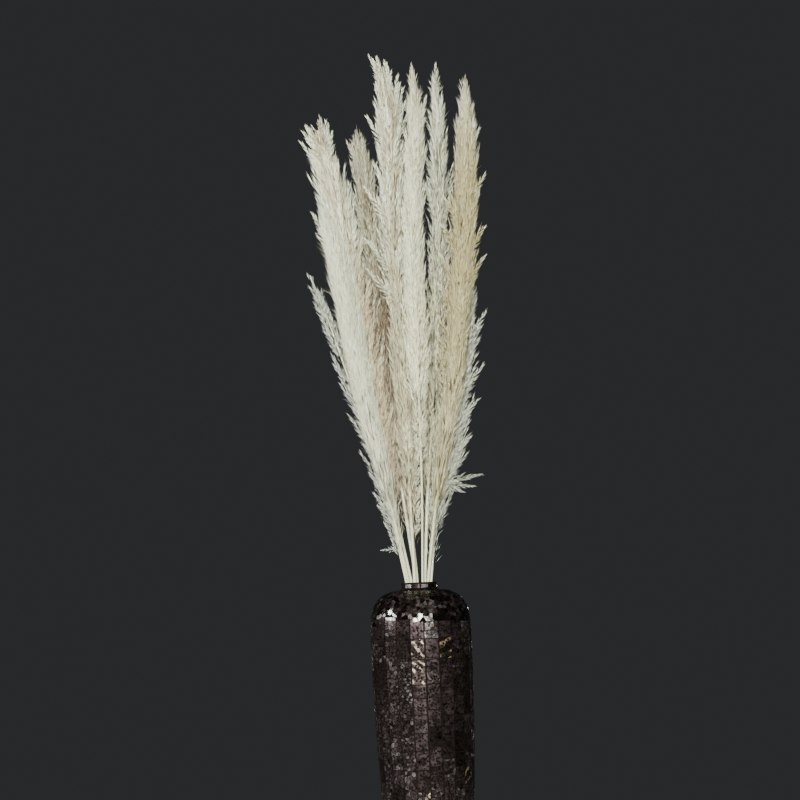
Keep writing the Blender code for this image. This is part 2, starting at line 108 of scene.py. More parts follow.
TONES = {
    "plume_far_left": Tones(
        (0.94, 1.0, 0.84), (0.66, 0.57, 0.40), (0.80, 0.69, 0.48), 0.66, (0.80, 0.71, 0.52), 0.20),
    "plume_left_front": Tones(
        (0.86, 0.91, 0.76), (0.68, 0.68, 0.52), (0.93, 1.0, 0.88), 0.45, (0.95, 1.0, 0.93), 0.20),
    "plume_left_low": Tones(
        (0.56, 0.62, 0.58), (0.50, 0.52, 0.45), (0.62, 0.69, 0.65), 0.30, (0.77, 0.86, 0.82), 0.20),
    # plume_back_left's dark low tone is partly tan and partly painted shade, for it stands behind the front
    # plumes.
    "plume_back_left": Tones(
        (0.70, 0.72, 0.57), (0.27, 0.20, 0.12), (0.21, 0.14, 0.07), 0.62, (0.62, 0.54, 0.40), 0.42),
    "plume_tall": Tones(
        (0.95, 1.0, 0.84), (0.56, 0.50, 0.34), (0.96, 0.98, 0.73), 0.50, (0.92, 0.94, 0.75), 0.25),
    # plume_centre's low and foot tones are raised as painted light, to lift the shade that falls low in the
    # plume.
    "plume_centre": Tones(
        (0.90, 0.95, 0.75), (0.70, 0.66, 0.48), (1.0, 1.0, 0.76), 0.42, (1.0, 1.0, 0.79), 0.20),
    # plume_slender's low and foot tones are raised as painted light, against the shadow that plume_centre
    # casts on it.
    "plume_slender": Tones(
        (0.89, 0.95, 0.80), (0.52, 0.50, 0.36), (0.96, 0.95, 0.69), 0.55, (0.90, 0.88, 0.64), 0.30),
    "plume_right": Tones(
        (0.89, 0.95, 0.82), (0.56, 0.49, 0.28), (0.65, 0.59, 0.33), 0.88, (0.87, 0.86, 0.63), 0.40),
    # plume_right_low's low and foot tones are raised as painted light, against the shade of plume_right beside
    # it.
    "plume_right_low": Tones(
        (0.78, 0.85, 0.77), (0.60, 0.60, 0.48), (0.88, 0.99, 0.92), 0.34, (0.88, 0.99, 0.93), 0.20),
    # plume_back's tones are partly tan and partly painted shade, for it stands behind the others.
    "plume_back": Tones(
        (0.50, 0.43, 0.31), (0.34, 0.26, 0.17), (0.42, 0.32, 0.21), 0.60, (0.52, 0.43, 0.31), 0.30),
}

PLUMES = [
    Plume("plume_far_left", (-11, 10),
          [(-34, 10, 125), (-60, 7, 300), (-89, 4, 502), (-105, 4, 602), (-126, 4, 700)],
          70, 29, 50, 0.42, 0.84, 0.40, "fluff_warm_white",
          Look(440, 24500, 14, 9, 29, 0.51, 0.12, 0.30, 48, 22, 2.5, 0.87, 1.0, 130, 1.0)),
    Plume("plume_left_front", (-15.5, -8),
          [(-36, -18, 110), (-72, -36, 276), (-102, -42, 473), (-123, -42, 572)],
          48, 30, 44, 0.36, 0.72, 0.20, "fluff_cool_white",
          Look(1500, 23500, 8, 8, 38, 0.62, 0.03, 0.05, 36, 3, 2.3, 0.30, 0.78, 190, 0.8, 0.30)),
    Plume("plume_left_low", (-18, 3),
          [(-37, 9, 103), (-61, 17, 210), (-92, 22, 310), (-121, 22, 405), (-149, 22, 483)],
          30, 22, 40, 0.30, 0.62, 0.18, "fluff_cool_white",
          Look(60, 4100, 22, 14, 20, 0.44, 0.18, 0.60, 50, 3, 2.3, 0.72, 0.93, 80, 0.03)),
    Plume("plume_back_left", (-3, 17),
          [(-17, 24, 120), (-34, 33, 300), (-47, 36, 515), (-64, 36, 695)],
          70, 23, 46, 0.40, 0.82, 0.46, "fluff_tan",
          Look(330, 18500, 17, 11, 23, 0.46, 0.16, 0.30, 26, 3, 2.5, 1.0, 1.0, 130, 1.0)),
    Plume("plume_tall", (-6, -13),
          [(-8, -15, 130), (-9, -18, 320), (-15, -20, 580), (-18, -20, 735), (-29, -20, 788)],
          66, 27, 48, 0.30, 0.84, 0.22, "fluff_warm_white",
          Look(360, 27500, 18, 10, 25, 0.46, 0.18, 0.32, 28, 12, 2.5, 0.52, 1.0, 130, 1.0, 0.08)),
    Plume("plume_centre", (5.5, -14),
          [(10.5, -28, 140), (12.4, -46, 320), (16, -52, 560), (24.5, -52, 715), (22.5, -52, 776)],
          232, 16, 42, 0.20, 0.84, 0.26, "fluff_warm_white",
          Look(480, 17500, 12, 10, 28, 0.54, 0.10, 0.22, 74, 2, 1.6, 1.25, 0.74, 25, 1.0)),
    Plume("plume_slender", (9, 9),
          [(18, 15, 120), (36, 26, 300), (57, 30, 590), (60, 30, 690), (54, 30, 778)],
          56, 20, 46, 0.35, 0.66, 0.28, "fluff_cool_white",
          Look(200, 13500, 18, 10, 24, 0.42, 0.16, 0.45, 36, 3, 2.5, 0.8, 1.0, 130, 0.4)),
    Plume("plume_right", (13.5, -7),
          [(28, -12, 100), (62, -20, 285), (88, -22, 500), (98, -22, 640), (103, -22, 757)],
          40, 27, 48, 0.36, 0.66, 0.22, "fluff_cream",
          Look(560, 26500, 14, 11, 28, 0.53, 0.12, 0.32, 54, 0, 2.5, 0.24, 1.0, 190, 1.0)),
    Plume("plume_right_low", (18, 2),
          [(31, 10, 105), (60, 21, 225), (77, 28, 330), (104, 30, 478)],
          36, 27, 50, 0.34, 0.70, 0.26, "fluff_warm_white",
          Look(260, 16500, 21, 15, 23, 0.40, 0.24, 0.50, 60, 3, 2.3, 1.0, 0.88, 90, 0.5, -0.12)),
    Plume("plume_back", (-2, 5),
          [(-10, 20, 120), (-22, 50, 300), (-26, 66, 460), (-18, 70, 612)],
          60, 26, 46, 0.36, 0.74, 0.28, "fluff_tan",
          Look(300, 14500, 15, 11, 24, 0.50, 0.14, 0.20, 36, 3, 2.3, 0.9, 1.0, 130, 1.0)),
]

# Long single sprays that stand out of the outline: (height where it leaves the stem, direction in degrees
# from +X towards +Y, how far out its tip reaches, how far it rises), in millimetres.
LOOSE_SPRAYS = {
    "plume_far_left": [
        (622, 180, 31, 71), (630, 172, 26, 60), (612, 192, 28, 62), (606, 182, 42, 62), (618, 184, 36, 66),
        (626, 178, 22, 61), (650, 150, 4, 54), (644, 170, 8, 54), (636, 20, 5, 56), (640, 320, 3, 58),
        (630, 0, 9, 52)],
    "plume_back_left": [(618, 176, 22, 52)],
    "plume_left_front": [(500, 184, 26, 54)],
    "plume_left_low": [
        (398, 180, 14, 46), (128, 182, 24, 38), (100, 180, 24, 35), (84, 178, 22, 32), (62, 182, 18, 28),
        (40, 180, 13, 26), (52, 180, 26, -2)],
    "plume_tall": [
        (752, 180, 19, 40), (742, 200, 10, 44), (740, 0, 1, 42), (728, 0, 4, 45), (745, 180, 8, 42),
        (748, 182, 14, 38), (734, 0, 3, 44), (724, 350, 8, 42), (698, 0, 15, 60), (676, 0, 22, 64),
        (660, 4, 24, 60), (688, 350, 17, 58), (640, 192, 33, 58), (60, 0, 13, 52), (85, 350, 15, 56),
        (110, 0, 16, 58), (140, 0, 17, 60), (170, 350, 17, 60), (200, 0, 18, 62), (530, 200, 44, 62),
        (455, 204, 48, 58), (412, 206, 50, 56)],
    "plume_centre": [
        (662, 350, 19, 58), (168, 225, 7, 48), (176, 0, 8, 50), (184, 180, 8, 50), (192, 300, 8, 52),
        (200, 90, 8, 50), (210, 240, 9, 52), (216, 330, 9, 52)],
    "plume_slender": [(728, 60, 3, 53), (590, 184, 18, 51), (545, 188, 19, 55)],
    "plume_right": [
        (628, 4, 22, 46), (548, 0, 32, 56), (470, 0, 35, 55), (428, 0, 38, 54), (262, 186, 17, 56),
        (310, 182, 20, 58), (290, 184, 19, 58), (338, 178, 23, 58), (385, 186, 26, 58), (430, 180, 28, 58),
        (476, 184, 28, 56), (520, 178, 27, 54)],
    "plume_right_low": [
        (340, 4, 39, 62), (262, 0, 44, 60), (215, 0, 42, 55), (165, 0, 40, 48), (150, 0, 58, 7),
        (146, 356, 48, -6), (146, 8, 34, -14)],
}


def mesh_object(name, points, faces, smooth_angle=None):
    """Makes a mesh object from points in millimetres and faces that all have the same number of corners."""
    corners = np.asarray(faces, dtype=np.int32)
    count, sides = corners.shape
    mesh = bpy.data.meshes.new(name)
    mesh.vertices.add(len(points))
    mesh.vertices.foreach_set("co", (np.asarray(points) * MM).astype(np.float32).ravel())
    mesh.loops.add(count * sides)
    mesh.loops.foreach_set("vertex_index", corners.ravel())
    mesh.polygons.add(count)
    mesh.polygons.foreach_set("loop_start", np.arange(count, dtype=np.int32) * sides)
    mesh.polygons.foreach_set("use_smooth", np.ones(count, dtype=bool))
    mesh.update(calc_edges=True)
    mesh.validate()
    if smooth_angle is not None:
        mesh.set_sharp_from_angle(angle=math.radians(smooth_angle))
    piece = bpy.data.objects.new(name, mesh)
    bpy.context.scene.collection.objects.link(piece)
    return piece


def lay_map(piece, name, places):
    """Gives a piece a UV map from one place (u, v) for each of its points."""
    mesh = piece.data
    layer = mesh.uv_layers.new(name=name)
    corner = np.empty(len(mesh.loops), dtype=np.int32)
    mesh.loops.foreach_get("vertex_index", corner)
    layer.uv.foreach_set("vector", np.asarray(places, dtype=np.float32)[corner].ravel())


def lay_numbers(piece, name, values):
    """Gives a piece one number for each of its points, for its material to read."""
    kept = piece.data.attributes.new(name, "FLOAT", "POINT")
    kept.data.foreach_set("value", np.asarray(values, dtype=np.float32))


def as_triangles(quads):
    """Each quad as two triangles."""
    quads = np.asarray(quads)
    return np.concatenate([quads[:, [0, 1, 2]], quads[:, [0, 2, 3]]])


def repeated(block, count, size):
    """The faces of one shape of so many points, for so many shapes whose points follow each other."""
    return (np.arange(count)[:, None, None] * size + np.asarray(block)[None]).reshape(-1, 3)


def tube_faces(rows, columns):
    """The faces of rings that follow each other, closed at both ends by the two points after the rings."""
    row, column = np.meshgrid(np.arange(rows - 1), np.arange(columns), indexing="ij")
    beside = (column + 1) % columns
    quads = np.stack([row * columns + column, row * columns + beside,
                      (row + 1) * columns + beside, (row + 1) * columns + column], axis=-1).reshape(-1, 4)
    around = np.arange(columns)
    following = (around + 1) % columns
    first = np.stack([np.full(columns, rows * columns), following, around], axis=1)
    last_row = (rows - 1) * columns
    last = np.stack([np.full(columns, rows * columns + 1), last_row + around, last_row + following], axis=1)
    return np.concatenate([as_triangles(quads), first, last])


def drop_faces(sides, rings):
    """The faces of a flat drop: a point on top, one or two rings of so many sides, and a point below."""
    around = np.arange(sides)
    beside = (around + 1) % sides
    parts = [np.stack([np.zeros(sides, int), 1 + beside, 1 + around], axis=1)]
    for ring in range(rings - 1):
        upper, lower = 1 + ring * sides, 1 + (ring + 1) * sides
        wall = np.stack([upper + around, upper + beside, lower + beside, lower + around], axis=1)
        parts.append(as_triangles(wall))
    lowest = 1 + (rings - 1) * sides
    under = np.full(sides, rings * sides + 1)
    parts.append(np.stack([under, lowest + around, lowest + beside], axis=1))
    return np.concatenate(parts)


def half_turn_at_most(angle):
    """An angle brought to between minus and plus half a turn."""
    return (angle + math.pi) % FULL_TURN - math.pi


# The vase: how many steps its turning has, how far under the lip its outer line starts, the gap between a
# straight stretch and the rounding that follows it, and how far its wall lies under the outer line.

TURN_STEPS = 96
LIP_DROP = 1.5
FILLET_GAP = 1.0
BODY_INSET = 0.35


def side_radius(height, widest):
    """The side below its widest ring: a parabola that meets the foot's radius at the bottom."""
    drop = (WIDEST_RADIUS - FOOT_RADIUS) / WIDEST_HEIGHT ** 2
    return widest - drop * (WIDEST_HEIGHT - height) ** 2


def arc(centre_r, centre_z, radius, first, last, count):
    """Points (r, z) on a circle, between two angles in degrees."""
    angles = np.radians(np.linspace(first, last, count))
    return np.stack([centre_r + radius * np.cos(angles), centre_z + radius * np.sin(angles)], axis=1)


def shoulder_line(widest, height, first, last, count):
    """r = widest cos(a)^(2/power), z = height sin(a)^(2/power) above the widest ring, from angle to angle."""
    angles = np.radians(np.linspace(first, last, count))
    share = 2.0 / SHOULDER_POWER
    heights = WIDEST_HEIGHT + height * np.sin(angles) ** share
    return np.stack([widest * np.cos(angles) ** share, heights], axis=1)


def outer_line():
    """The vase's outer line from under the lip, down the neck, shoulder and side, to the foot's rounding."""
    neck_foot = WIDEST_HEIGHT + SHOULDER_HEIGHT + NECK_FILLET
    neck = np.array([[NECK_RADIUS, VASE_HEIGHT - LIP_DROP], [NECK_RADIUS, neck_foot + FILLET_GAP]])
    fillet = arc(NECK_RADIUS + NECK_FILLET, neck_foot, NECK_FILLET, first=180, last=250, count=6)
    shoulder = shoulder_line(WIDEST_RADIUS, SHOULDER_HEIGHT, first=76, last=4, count=24)
    heights = np.linspace(WIDEST_HEIGHT, FOOT_ROUNDING, 18)
    side = np.stack([side_radius(heights, WIDEST_RADIUS), heights], axis=1)
    return np.concatenate([neck, fillet, shoulder, side])


LINE = outer_line()
LINE_STEPS = np.linalg.norm(np.diff(LINE, axis=0), axis=1)
LINE_DEPTHS = np.concatenate([[0.0], np.cumsum(LINE_STEPS)])
LINE_WAYS = np.gradient(LINE, LINE_DEPTHS, axis=0)
LINE_NORMALS = np.stack([-LINE_WAYS[:, 1], LINE_WAYS[:, 0]], axis=1)


def line_radius(depth):
    """The outer line's radius at a length down it."""
    return np.interp(depth, LINE_DEPTHS, LINE[:, 0])


def depth_at(height):
    """The length down the outer line at a height of the shoulder or side."""
    return np.interp(-height, -LINE[:, 1], LINE_DEPTHS)


def on_vase(angle, depth, lift):
    """A point of the vase's face: the outer line's point at a length down it, pushed out along its normal by
    the lift and turned round the axis by the angle."""
    r = line_radius(depth) + lift * np.interp(depth, LINE_DEPTHS, LINE_NORMALS[:, 0])
    z = np.interp(depth, LINE_DEPTHS, LINE[:, 1]) + lift * np.interp(depth, LINE_DEPTHS, LINE_NORMALS[:, 1])
    return np.stack([r * np.sin(angle), -r * np.cos(angle), z], axis=-1)


def lathe(name, line):
    """Turns a line (r, z) that starts and ends on the axis into a closed shape: (r sin a, -r cos a, z)."""
    turns = np.linspace(0, FULL_TURN, TURN_STEPS, endpoint=False)
    middle = line[1:-1]
    rings = np.stack([middle[:, None, 0] * np.sin(turns), -middle[:, None, 0] * np.cos(turns),
                      np.repeat(middle[:, 1:], TURN_STEPS, axis=1)], axis=-1)
    poles = np.array([[0, 0, line[0, 1]], [0, 0, line[-1, 1]]])
    points = np.concatenate([rings.reshape(-1, 3), poles])
    return mesh_object(name, points, tube_faces(len(middle), TURN_STEPS), smooth_angle=40)


def make_vase_body():
    """The vase's wall and floor under the tiles, with its lip: the grout is what shows between the tiles."""
    widest = WIDEST_RADIUS - WALL
    corner = arc(side_radius(FLOOR_THICKNESS, widest) - WALL, FLOOR_THICKNESS + WALL, WALL,
                 first=-90, last=0, count=8)
    heights = np.linspace(FLOOR_THICKNESS + 4 * WALL, WIDEST_HEIGHT, 12)
    side = np.stack([side_radius(heights, widest), heights], axis=1)
    shoulder = shoulder_line(widest, SHOULDER_HEIGHT - WALL, first=10, last=74, count=16)
    throat = [[MOUTH_RADIUS, WIDEST_HEIGHT + SHOULDER_HEIGHT - WALL + FILLET_GAP]]
    lip_radius = (NECK_RADIUS - MOUTH_RADIUS) / 2
    lip = arc(MOUTH_RADIUS + lip_radius, VASE_HEIGHT - lip_radius, lip_radius, first=180, last=20, count=12)
    outside = (LINE - LINE_NORMALS * BODY_INSET)[1:-1]
    foot = arc(FOOT_RADIUS - FOOT_ROUNDING, FOOT_ROUNDING, FOOT_ROUNDING, first=0, last=-90, count=6)
    line = np.concatenate([[[0.0, FLOOR_THICKNESS]], corner, side, shoulder, throat, lip, outside, foot,
                           [[0.0, 0.0]]])
    return lathe("vase_body", line)


# The shell tiles. Tones and shines run from 0 to 1: a tone goes from black to white shell, and a tile shows
# bands of nacre from a shine of about 0.7 up. The upright strips start at a height, most of them shifted by
# chance, and end just above the foot's rounding. A plain tile keeps SEAM free on its left and right and GROUT
# above and below, and a crackled one SEAM_INSET beside its fragments. Tiles stand out of the outer line by
# their lift, and their rims go down into the wall to their root.

STRIPS = 22
FIRST_SEAM = math.radians(3.4)
STRIPS_FROM = 392.0
STRIPS_END = 1.0
TILE_HEIGHTS = (21.0, 34.0)
START_SHIFT = (-10.0, 6.0)
SEAM = 1.25
SEAM_INSET = 0.75
GROUT = 0.75
TILE_LIFT = 0.30
TILE_ROOT = -0.9
SQUARE_GRID = 5
TILE_TILT = 0.035
CORNER_SHIFT = 0.45
PLAIN_TONE = (0.12, 0.62)
PLAIN_SHINE = (0.0, 0.6)
NACRE_CHANCE = 0.05
NACRE_SHINE = (0.80, 0.95)

# How likely a tile is to be crackled, by its strip.
CRACKLE_CHANCE = {-4: 0.45, -3: 0.85, -2: 0.85, 0: 0.35}
OTHER_CRACKLE = 0.25

# The fragments of the crackled tiles and of the shoulder: a shake is a share of the grid's step, or on the
# shoulder (a share round it, millimetres down it), and a spacing is (round it, down it). A fragment reaches no
# further than LARGEST_SHARD, and it ends above the strips that start within SHARD_REACH beside it.
FRAGMENT_SIZES = (4.1, 7.0)
FRAGMENT_SHAKE = 0.44
FRAGMENT_SIDES = 6
FRAGMENT_TILT = 0.110
CALM_TILT = 0.3
LARGEST_SHARD = 9.0
LEAST_SHARD = 1.5
LEAST_REACH = 0.4
LEAST_HALF = 0.3
SHARD_REACH = 4.5
SHARD_GAP = (0.3, 0.7)
MOST_NEIGHBOURS = 14
SHOULDER_TOP = 438.0
SHOULDER_MARGIN = 1.0
SHOULDER_SPACING = (6.8, 6.0)
SHOULDER_SHAKE = (0.44, 2.9)

# A fragment's tone is a share of its tile's tone, a least tone and a tone by chance. On the shoulder it is a
# greatest tone times a power of a chance number, so that most are dark.
TILE_TONE_SHARE = 0.42
LEAST_TONE = 0.10
CHANCE_TONE = 0.65
BRIGHTEST_CHANCE = 0.90
SHARD_SHINE = (0.8, 1.1)
SHOULDER_TONE = 0.75
SHOULDER_TONE_POWER = 2.3
SHOULDER_SHINE = (0.0, 0.75)

# The ring of square tiles round the neck: its tiles' tops and bottoms are depths down the outer line.
NECK_TILES = 13
FIRST_NECK_SEAM = math.radians(4.0)
NECK_DEPTHS = (0.6, 7.4)
NECK_TONE = (0.1, 0.8)
NECK_SHINE = (0.2, 0.85)

# Heights of the cuts between the tiles of the strips that the photograph shows best, from the first cut down.
# Strip 0 starts at the first seam and the numbers grow towards +X.
KNOWN_CUTS = {-1: (367, 336, 299, 279, 255, 228, 202), 0: (367, 336, 300, 262, 237, 208),
              1: (368, 336, 294, 253)}

# What some tiles are seen to be, by strip and row: (crackled, tone, shine).
KNOWN_TILES = {(-1, 0): (False, 0.72, 0.45), (-1, 1): (False, 0.50, 1.00), (-1, 2): (False, 0.48, 0.92),
               (-1, 3): (False, 0.55, 0.30), (-1, 4): (False, 0.62, 0.35), (-1, 5): (False, 0.66, 0.30),
               (-1, 6): (False, 0.60, 0.35), (0, 0): (True, 0.78, 0.90), (0, 1): (False, 0.62, 0.40),
               (0, 2): (False, 0.70, 0.80), (0, 3): (False, 0.60, 0.30), (0, 4): (False, 0.52, 0.30),
               (1, 0): (False, 0.52, 0.20), (1, 1): (False, 0.20, 0.86), (1, 2): (False, 0.56, 0.30),
               (1, 3): (False, 0.62, 0.20), (1, 4): (False, 0.50, 0.20)}

# The same for the neck's tiles, from the one right of the first seam, towards +X: (tone, shine).
KNOWN_NECK = {0: (0.95, 0.93), 12: (0.70, 0.40), 11: (0.93, 0.90), 10: (0.30, 0.20), 1: (0.10, 0.10)}

# Where the photograph shows bright fragments, which lie almost flush to mirror the lights and whose tone is a
# painted
# highlight: (degrees from the front, height, how far round it, tone).
GLINTS = [(-28, 397, 5, 0.93), (-14, 401, 5, 0.83), (-56, 401, 5, 0.93), (-36, 400, 9, 1.0),
          (-46, 402, 4, 0.95), (-22, 402, 4, 0.88), (0, 402, 3, 0.79), (10, 397, 5, 0.95)]


def strip_rows(draw):
    """The tiles of the upright strips, as edges (left and right angle, top and bottom depth), for each tile
    whether it is crackled, its tone and its shine, and the depth where each strip starts: each strip is cut
    into tiles of chance heights from the shoulder to the foot, but where the cuts are known."""
    tiles, looks, starts = [], [], []
    start, end = depth_at(STRIPS_FROM), LINE_DEPTHS[-1] - STRIPS_END
    least = TILE_HEIGHTS[0] / 2
    width = FULL_TURN / STRIPS
    for strip in range(STRIPS):
        place = strip if strip < STRIPS / 2 else strip - STRIPS
        chance = CRACKLE_CHANCE.get(place, OTHER_CRACKLE)
        left = FIRST_SEAM + strip * width
        known = [depth_at(height) for height in KNOWN_CUTS.get(place, ())]
        top = start if known else start + draw.uniform(*START_SHIFT)
        starts.append(top)
        row = 0
        while top < end - least:
            bottom = known[row] if row < len(known) else top + draw.uniform(*TILE_HEIGHTS)
            if bottom > end - least:
                bottom = end
            shine = draw.uniform(*(NACRE_SHINE if draw.random() < NACRE_CHANCE else PLAIN_SHINE))
            look = (draw.random() < chance, draw.uniform(*PLAIN_TONE), shine)
            tiles.append((left, left + width, top, bottom))
            looks.append(KNOWN_TILES.get((place, row), look))
            top = bottom
            row += 1
    return np.array(tiles), np.array(looks, dtype=float), np.array(starts)


def neck_row(draw):
    """The neck's ring of tiles, as edges, and for each that it isn't crackled, its tone and its shine."""
    width = FULL_TURN / NECK_TILES
    left = np.arange(NECK_TILES) * width + FIRST_NECK_SEAM
    top, bottom = [np.full(NECK_TILES, depth) for depth in NECK_DEPTHS]
    looks = np.stack([0 * left, draw.uniform(*NECK_TONE, NECK_TILES), draw.uniform(*NECK_SHINE, NECK_TILES)],
                     axis=1)
    for index, seen in KNOWN_NECK.items():
        looks[index, 1:] = seen
    return np.stack([left, left + width, top, bottom], axis=1), looks


def square_tiles(tiles, draw):
    """Raised tiles on the vase, one grid each: a point (a, b) of the unit square goes to the place between
    four corners that are shifted by chance, and the lift is even but for a slight tilt. The outermost ring of
    the grid drops into the vase's body, and a point deep in the body closes each tile from below."""
    n, m = len(tiles), SQUARE_GRID
    left, right, top, bottom = tiles.T
    cuts = np.concatenate([[0.0], np.linspace(0.0, 1.0, m - 2), [1.0]])
    a, b = np.meshgrid(cuts, cuts, indexing="ij")
    edge = np.zeros((m, m), dtype=bool)
    edge[[0, -1], :] = edge[:, [0, -1]] = True
    middle = (top + bottom) / 2
    width = (right - left) * line_radius(middle) - 2 * SEAM
    height = bottom - top - 2 * GROUT
    shift = draw.uniform(-CORNER_SHIFT, CORNER_SHIFT, (n, 2, 2, 2))
    weights = np.stack([(1 - a) * (1 - b), (1 - a) * b, a * (1 - b), a * b])
    moved = np.einsum("kij,nkc->nijc", weights, shift.reshape(n, 4, 2))
    x = (a - 0.5)[None] * width[:, None, None] + moved[..., 0]
    y = (b - 0.5)[None] * height[:, None, None] + moved[..., 1]
    depth = middle[:, None, None] + y
    angle = ((left + right) / 2)[:, None, None] + x / line_radius(depth)
    slope = draw.uniform(-TILE_TILT, TILE_TILT, (n, 2))
    rise = TILE_LIFT + slope[:, :1, None] * x + slope[:, 1:, None] * y
    points = on_vase(angle, depth, np.where(edge[None], TILE_ROOT, rise))
    under = on_vase((left + right) / 2, middle, np.full(n, 2 * TILE_ROOT))
    row, column = np.meshgrid(np.arange(m - 1), np.arange(m - 1), indexing="ij")
    corner = (row * m + column).ravel()
    face = as_triangles(np.stack([corner, corner + 1, corner + m + 1, corner + m], axis=1))
    rim = np.concatenate([np.arange(m) * m, (m - 1) * m + np.arange(1, m),
                          np.arange(m - 2, -1, -1) * m + m - 1, np.arange(m - 2, 0, -1)])
    fan = np.stack([rim, np.roll(rim, -1), np.full(len(rim), m * m)], axis=1)
    faces = repeated(np.concatenate([face, fan]), n, m * m + 1)
    stacked = np.concatenate([points.reshape(n, m * m, 3), under[:, None]], axis=1)
    local = np.concatenate([np.stack([x, y], -1).reshape(n, m * m, 2), np.zeros((n, 1, 2))], axis=1)
    places = np.concatenate([np.stack([angle, depth], -1).reshape(n, m * m, 2),
                             np.stack([(left + right) / 2, middle], -1)[:, None]], axis=1)
    return stacked, faces, local, places, slope


def cut(corners, way, limit):
    """The part of a polygon whose points p have p . way no greater than the limit."""
    kept = []
    for one, other in zip(corners, corners[1:] + corners[:1]):
        over = one[0] * way[0] + one[1] * way[1] - limit
        next_over = other[0] * way[0] + other[1] * way[1] - limit
        if over <= 0:
            kept.append(one)
        if (over < 0 < next_over) or (next_over < 0 < over):
            share = over / (over - next_over)
            kept.append((one[0] + share * (other[0] - one[0]), one[1] + share * (other[1] - one[1])))
    return kept


def with_sides(corners, sides):
    """A polygon with just so many corners: the corner that stands out least goes, or the longest edge gets a
    corner in its middle."""
    corners = list(corners)
    while len(corners) > sides:
        here = np.array(corners)
        before, after = here - np.roll(here, 1, axis=0), np.roll(here, -1, axis=0) - here
        corners.pop(int(np.argmin(np.abs(before[:, 0] * after[:, 1] - before[:, 1] * after[:, 0]))))
    while len(corners) < sides:
        here = np.array(corners)
        longest = int(np.argmax(np.linalg.norm(np.roll(here, -1, axis=0) - here, axis=1)))
        following = corners[(longest + 1) % len(corners)]
        middle = ((corners[longest][0] + following[0]) / 2, (corners[longest][1] + following[1]) / 2)
        corners.insert(longest + 1, middle)
    return corners


def shard_outlines(sites, limits, gaps):
    """The corners of each fragment round its site: the points nearer to it than to any neighbour, less half
    the grout's width, inside its own edges."""
    angle, depth = sites.T
    outlines = []
    for index in range(len(sites)):
        turn = half_turn_at_most(angle - angle[index])
        away = np.stack([turn * line_radius((depth + depth[index]) / 2), depth - depth[index]], axis=1)
        distance = np.linalg.norm(away, axis=1)
        left, right, up, down = np.maximum(np.minimum(limits[index], LARGEST_SHARD) - GROUT / 2, LEAST_REACH)
        corners = [(-left, -up), (right, -up), (right, down), (-left, down)]
        for other in np.argsort(distance)[1:MOST_NEIGHBOURS]:
            way = away[other] / distance[other]
            corners = cut(corners, way, max(distance[other] / 2 - gaps[index], LEAST_HALF))
        outlines.append(with_sides(corners, FRAGMENT_SIDES))
    return np.array(outlines)


def fragments(sites, limits, calm, draw):
    """Irregular pieces of shell round their sites, with straight edges that fit each other. Each has a point
    in its middle, its raised rim, the rim's foot in the body and a point below. The calm ones lie almost
    flush."""
    n = len(sites)
    angle, depth = sites.T
    outline = shard_outlines(sites, limits, GROUT * draw.uniform(*SHARD_GAP, n))
    middle = outline.mean(axis=1)
    shares = np.array([0.0, 1.0, 1.0, 0.0])
    sunk = np.array([False, False, True, True])
    slope = draw.uniform(-FRAGMENT_TILT, FRAGMENT_TILT, (n, 2)) * np.where(calm, CALM_TILT, 1.0)[:, None]
    x = middle[:, None, :1] + (outline[..., :1] - middle[:, None, :1]) * shares
    y = middle[:, None, 1:] + (outline[..., 1:] - middle[:, None, 1:]) * shares
    rise = TILE_LIFT + slope[:, 0, None, None] * x + slope[:, 1, None, None] * y
    at_depth = depth[:, None, None] + y
    at_angle = angle[:, None, None] + x / line_radius(at_depth)
    points = on_vase(at_angle, at_depth, np.where(sunk, TILE_ROOT, rise))

    def in_order(values):
        """The values of the middle, the rim, the rim's foot and the point below, one after another."""
        return np.concatenate([values[:, :1, 0], values[:, :, 1], values[:, :, 2], values[:, :1, 3]], axis=1)

    faces = repeated(drop_faces(FRAGMENT_SIDES, 2), n, 2 * FRAGMENT_SIDES + 2)
    local = in_order(np.stack([x, y], axis=-1))
    places = in_order(np.stack([at_angle, at_depth], axis=-1))
    return in_order(points), faces, local, places


def crackled_sites(tiles, draw):
    """Sites on a shaken grid inside each crackled tile, how far each may reach to the tile's edges, and
    which tile it is in."""
    sites, limits, owners = [], [], []
    for owner, (left, right, top, bottom) in enumerate(tiles):
        width, height = (right - left) * line_radius((top + bottom) / 2), bottom - top
        size = draw.uniform(*FRAGMENT_SIZES)
        columns, rows = max(2, round(width / size)), max(2, round(height / size))
        a, b = np.meshgrid(np.arange(columns), np.arange(rows), indexing="ij")
        a = (a.ravel() + 0.5 + draw.uniform(-FRAGMENT_SHAKE, FRAGMENT_SHAKE, a.size)) / columns
        b = (b.ravel() + 0.5 + draw.uniform(-FRAGMENT_SHAKE, FRAGMENT_SHAKE, b.size)) / rows
        sites.append(np.stack([left + a * (right - left), top + b * height], axis=1))
        limits.append(np.stack([a * width - SEAM_INSET, (1 - a) * width - SEAM_INSET,
                                b * height, (1 - b) * height], axis=1))
        owners.append(np.full(a.size, owner))
    return np.concatenate(sites), np.concatenate(limits), np.concatenate(owners)


def strip_start(starts, angles, depths):
    """How far down the shoulder's pieces may reach: to the higher start of the strips close to each place."""
    highest = np.full(len(angles), UNLIMITED)
    for aside in (-SHARD_REACH, 0.0, SHARD_REACH):
        turn = (angles + aside / line_radius(depths) - FIRST_SEAM) % FULL_TURN
        highest = np.minimum(highest, starts[(turn / FULL_TURN * STRIPS).astype(int) % STRIPS])
    return highest


